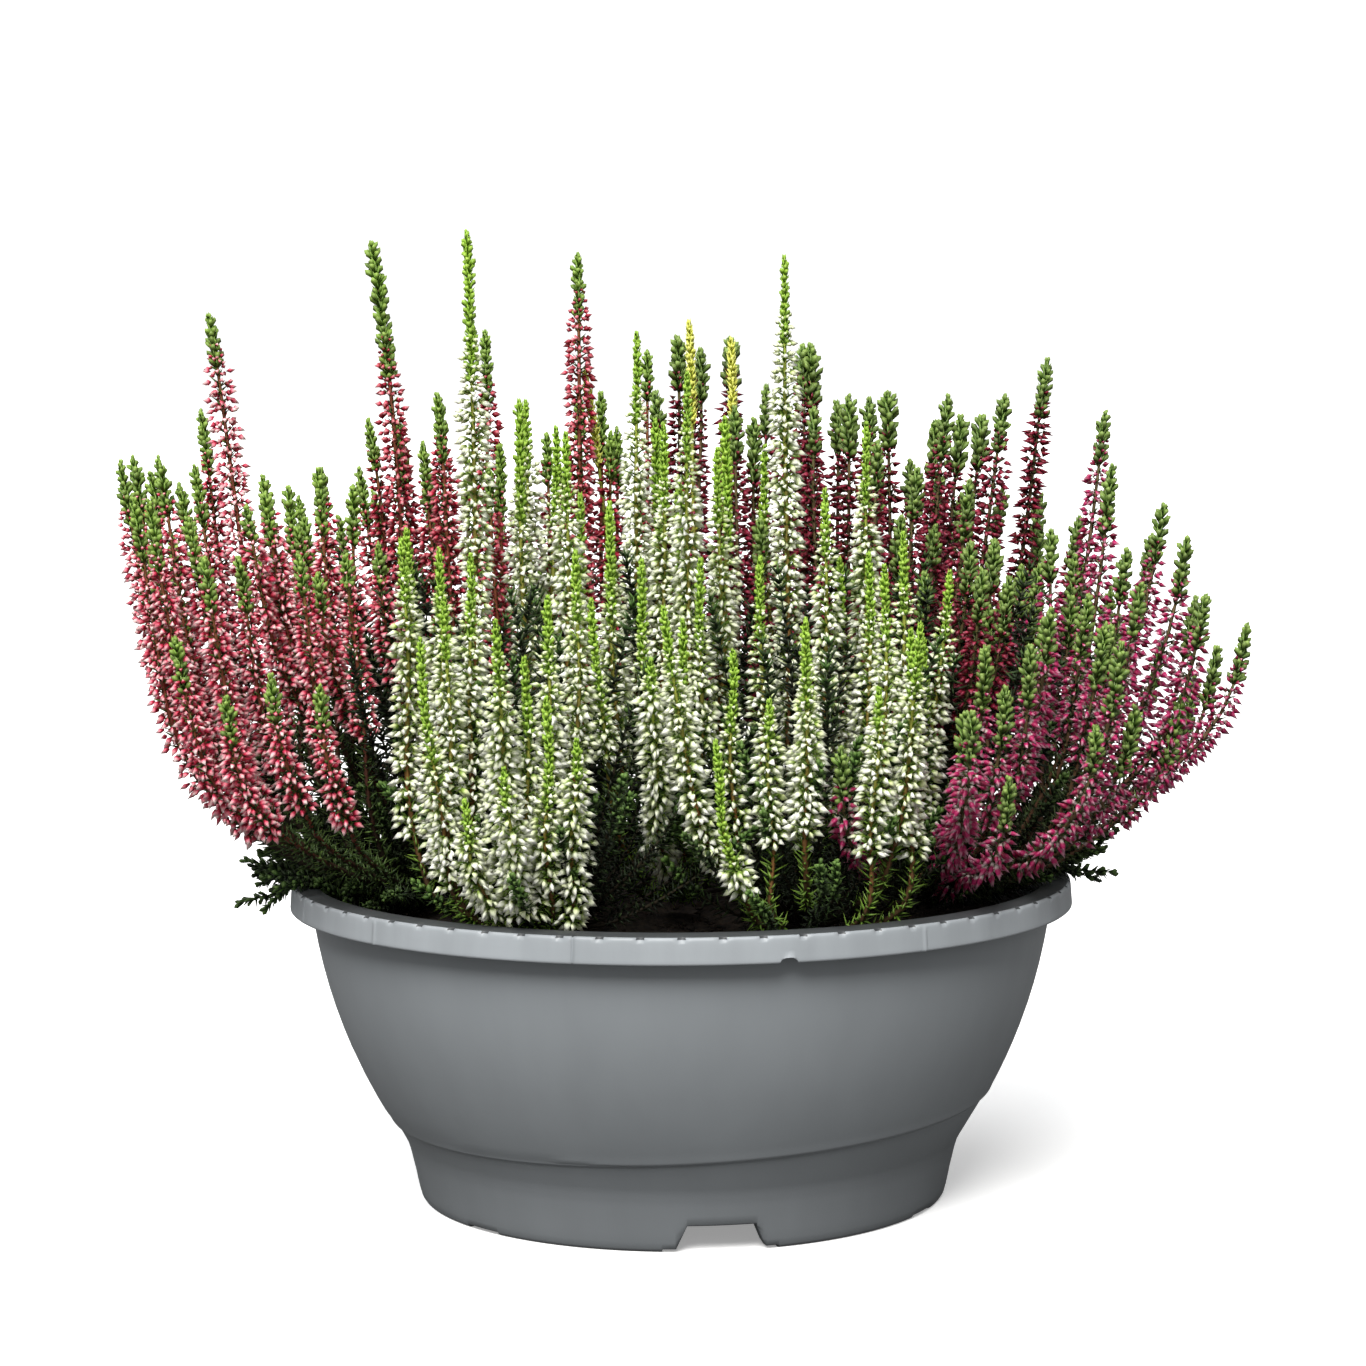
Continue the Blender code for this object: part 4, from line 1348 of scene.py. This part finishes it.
# in mm; but turns, rings, waves and crumbs are counts, close and calm say how close a wave's crests may stand
# and how much lower that makes it, crumbReach and crumbBase are metres, and crumbFlat is how much of its
# upward slant a crumb keeps; under: (height, inset from the wall's outer side), and floor: (radius, height)
soilLook = {
    "top": 99.7, "radius": 124.0, "turns": 80, "rings": 32, "edge": 122, "edgeLower": 1.0, "lumps": 0.352,
    "waves": 26, "close": (0.05, 0.9), "calm": 1.2,
    "under": ((90.0, 3.1), (70.0, 3.1), (50.0, 3.1), (30.0, 3.3)),
    "floor": [(88.0, 16.6), (82.0, 12.1), (0.0, 12.1)],
    "crumbs": 1100, "crumbReach": 0.121, "crumbBase": 0.0994, "crumbLong": (1.5, 5.0),
    "crumbHalf": (0.6, 1.6), "crumbFlat": 0.25,
}
earthLook = {
    "grain": (420.0, 6.0), "darkTo": 0.35, "dark": (0.006, 0.004, 0.003, 1), "paleFrom": 0.75,
    "pale": (0.060, 0.040, 0.026, 1), "rough": 0.95, "bump": (0.8, 0.001),
}


def soilEarth():
    # brown to pale by a fine grain, which also bumps the surface
    look = earthLook
    material, tree, shader = newMaterial("darkPeat")
    grain = noise(tree, addNode(tree, "TexCoord", {}).outputs["Object"], *look["grain"])
    stops = [(look["darkTo"], look["dark"]), (look["paleFrom"], look["pale"])]
    feed(tree, shader, {
        "Base Color": ramped(tree, grain, stops), "Roughness": look["rough"],
        "Normal": bumped(tree, grain, *look["bump"]),
    })
    return material


def makeSoil():
    # a disc whose height is a sum of waves, with a skirt down to its flat underside, and crumbs of peat and
    # bark
    look = soilLook
    dice = np.random.default_rng(77)
    turns = np.arange(look["turns"]) * math.tau / look["turns"]
    r = np.linspace(0, look["radius"], look["rings"])[:, None] + 0 * turns
    x, y = r * np.cos(turns), r * np.sin(turns)
    z = np.full_like(x, look["top"])
    for _ in range(look["waves"]):
        k = dice.uniform(*look["close"])
        way = dice.uniform(0, math.tau)
        wave = np.sin(k * (x * math.cos(way) + y * math.sin(way)) + dice.uniform(0, 6))
        z += look["lumps"] * wave / (1 + look["calm"] * k)
    z = np.where(r > look["edge"], look["top"] - look["edgeLower"], z)
    under = [(arcRadius(height, inset), height) for height, inset in look["under"]] + look["floor"]
    underR, underZ = turnProfile(under, turns)
    points = turned(np.concatenate([r, underR]), np.concatenate([z, underZ]), turns)
    mound = (points.reshape(-1, 3), gridFaces(len(points), len(turns)), np.zeros((points.size // 3, 2)), 0)
    n = look["crumbs"]
    far = np.sqrt(dice.uniform(0, 1, n)) * look["crumbReach"]
    turn = dice.uniform(0, math.tau, n)
    base = np.stack([far * np.cos(turn), far * np.sin(turn), np.full(n, look["crumbBase"])], -1)
    aim = dice.normal(0, 1, (n, 3)) * [1, 1, look["crumbFlat"]]
    long = dice.uniform(*look["crumbLong"], n) * mm
    wide = dice.uniform(*look["crumbHalf"], n) * mm
    crumbs = scatter(needleShape, base, aim, long, wide, np.zeros(n), 0.0, 0)
    soil = addMesh("soil", [mound, crumbs], [soilEarth()], withUv=False)
    closeSeams(soil)
    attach(soil, "root")
    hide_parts("potting_soil")


makeCamera()
makeLights()
makeFloor()
print("camera, lights and floor made")
makeBowl()
makeSoil()
print("bowl and soil made")
makeShoots()
print("packed shoots made")
makeMoreShoots()
print("further shoots made")
makeCrowns()
counts = [triangleCount(piece) for piece in allPieces]
print("twigs made;", len(counts), "pieces,", sum(counts), "triangles,", max(counts), "in the largest")
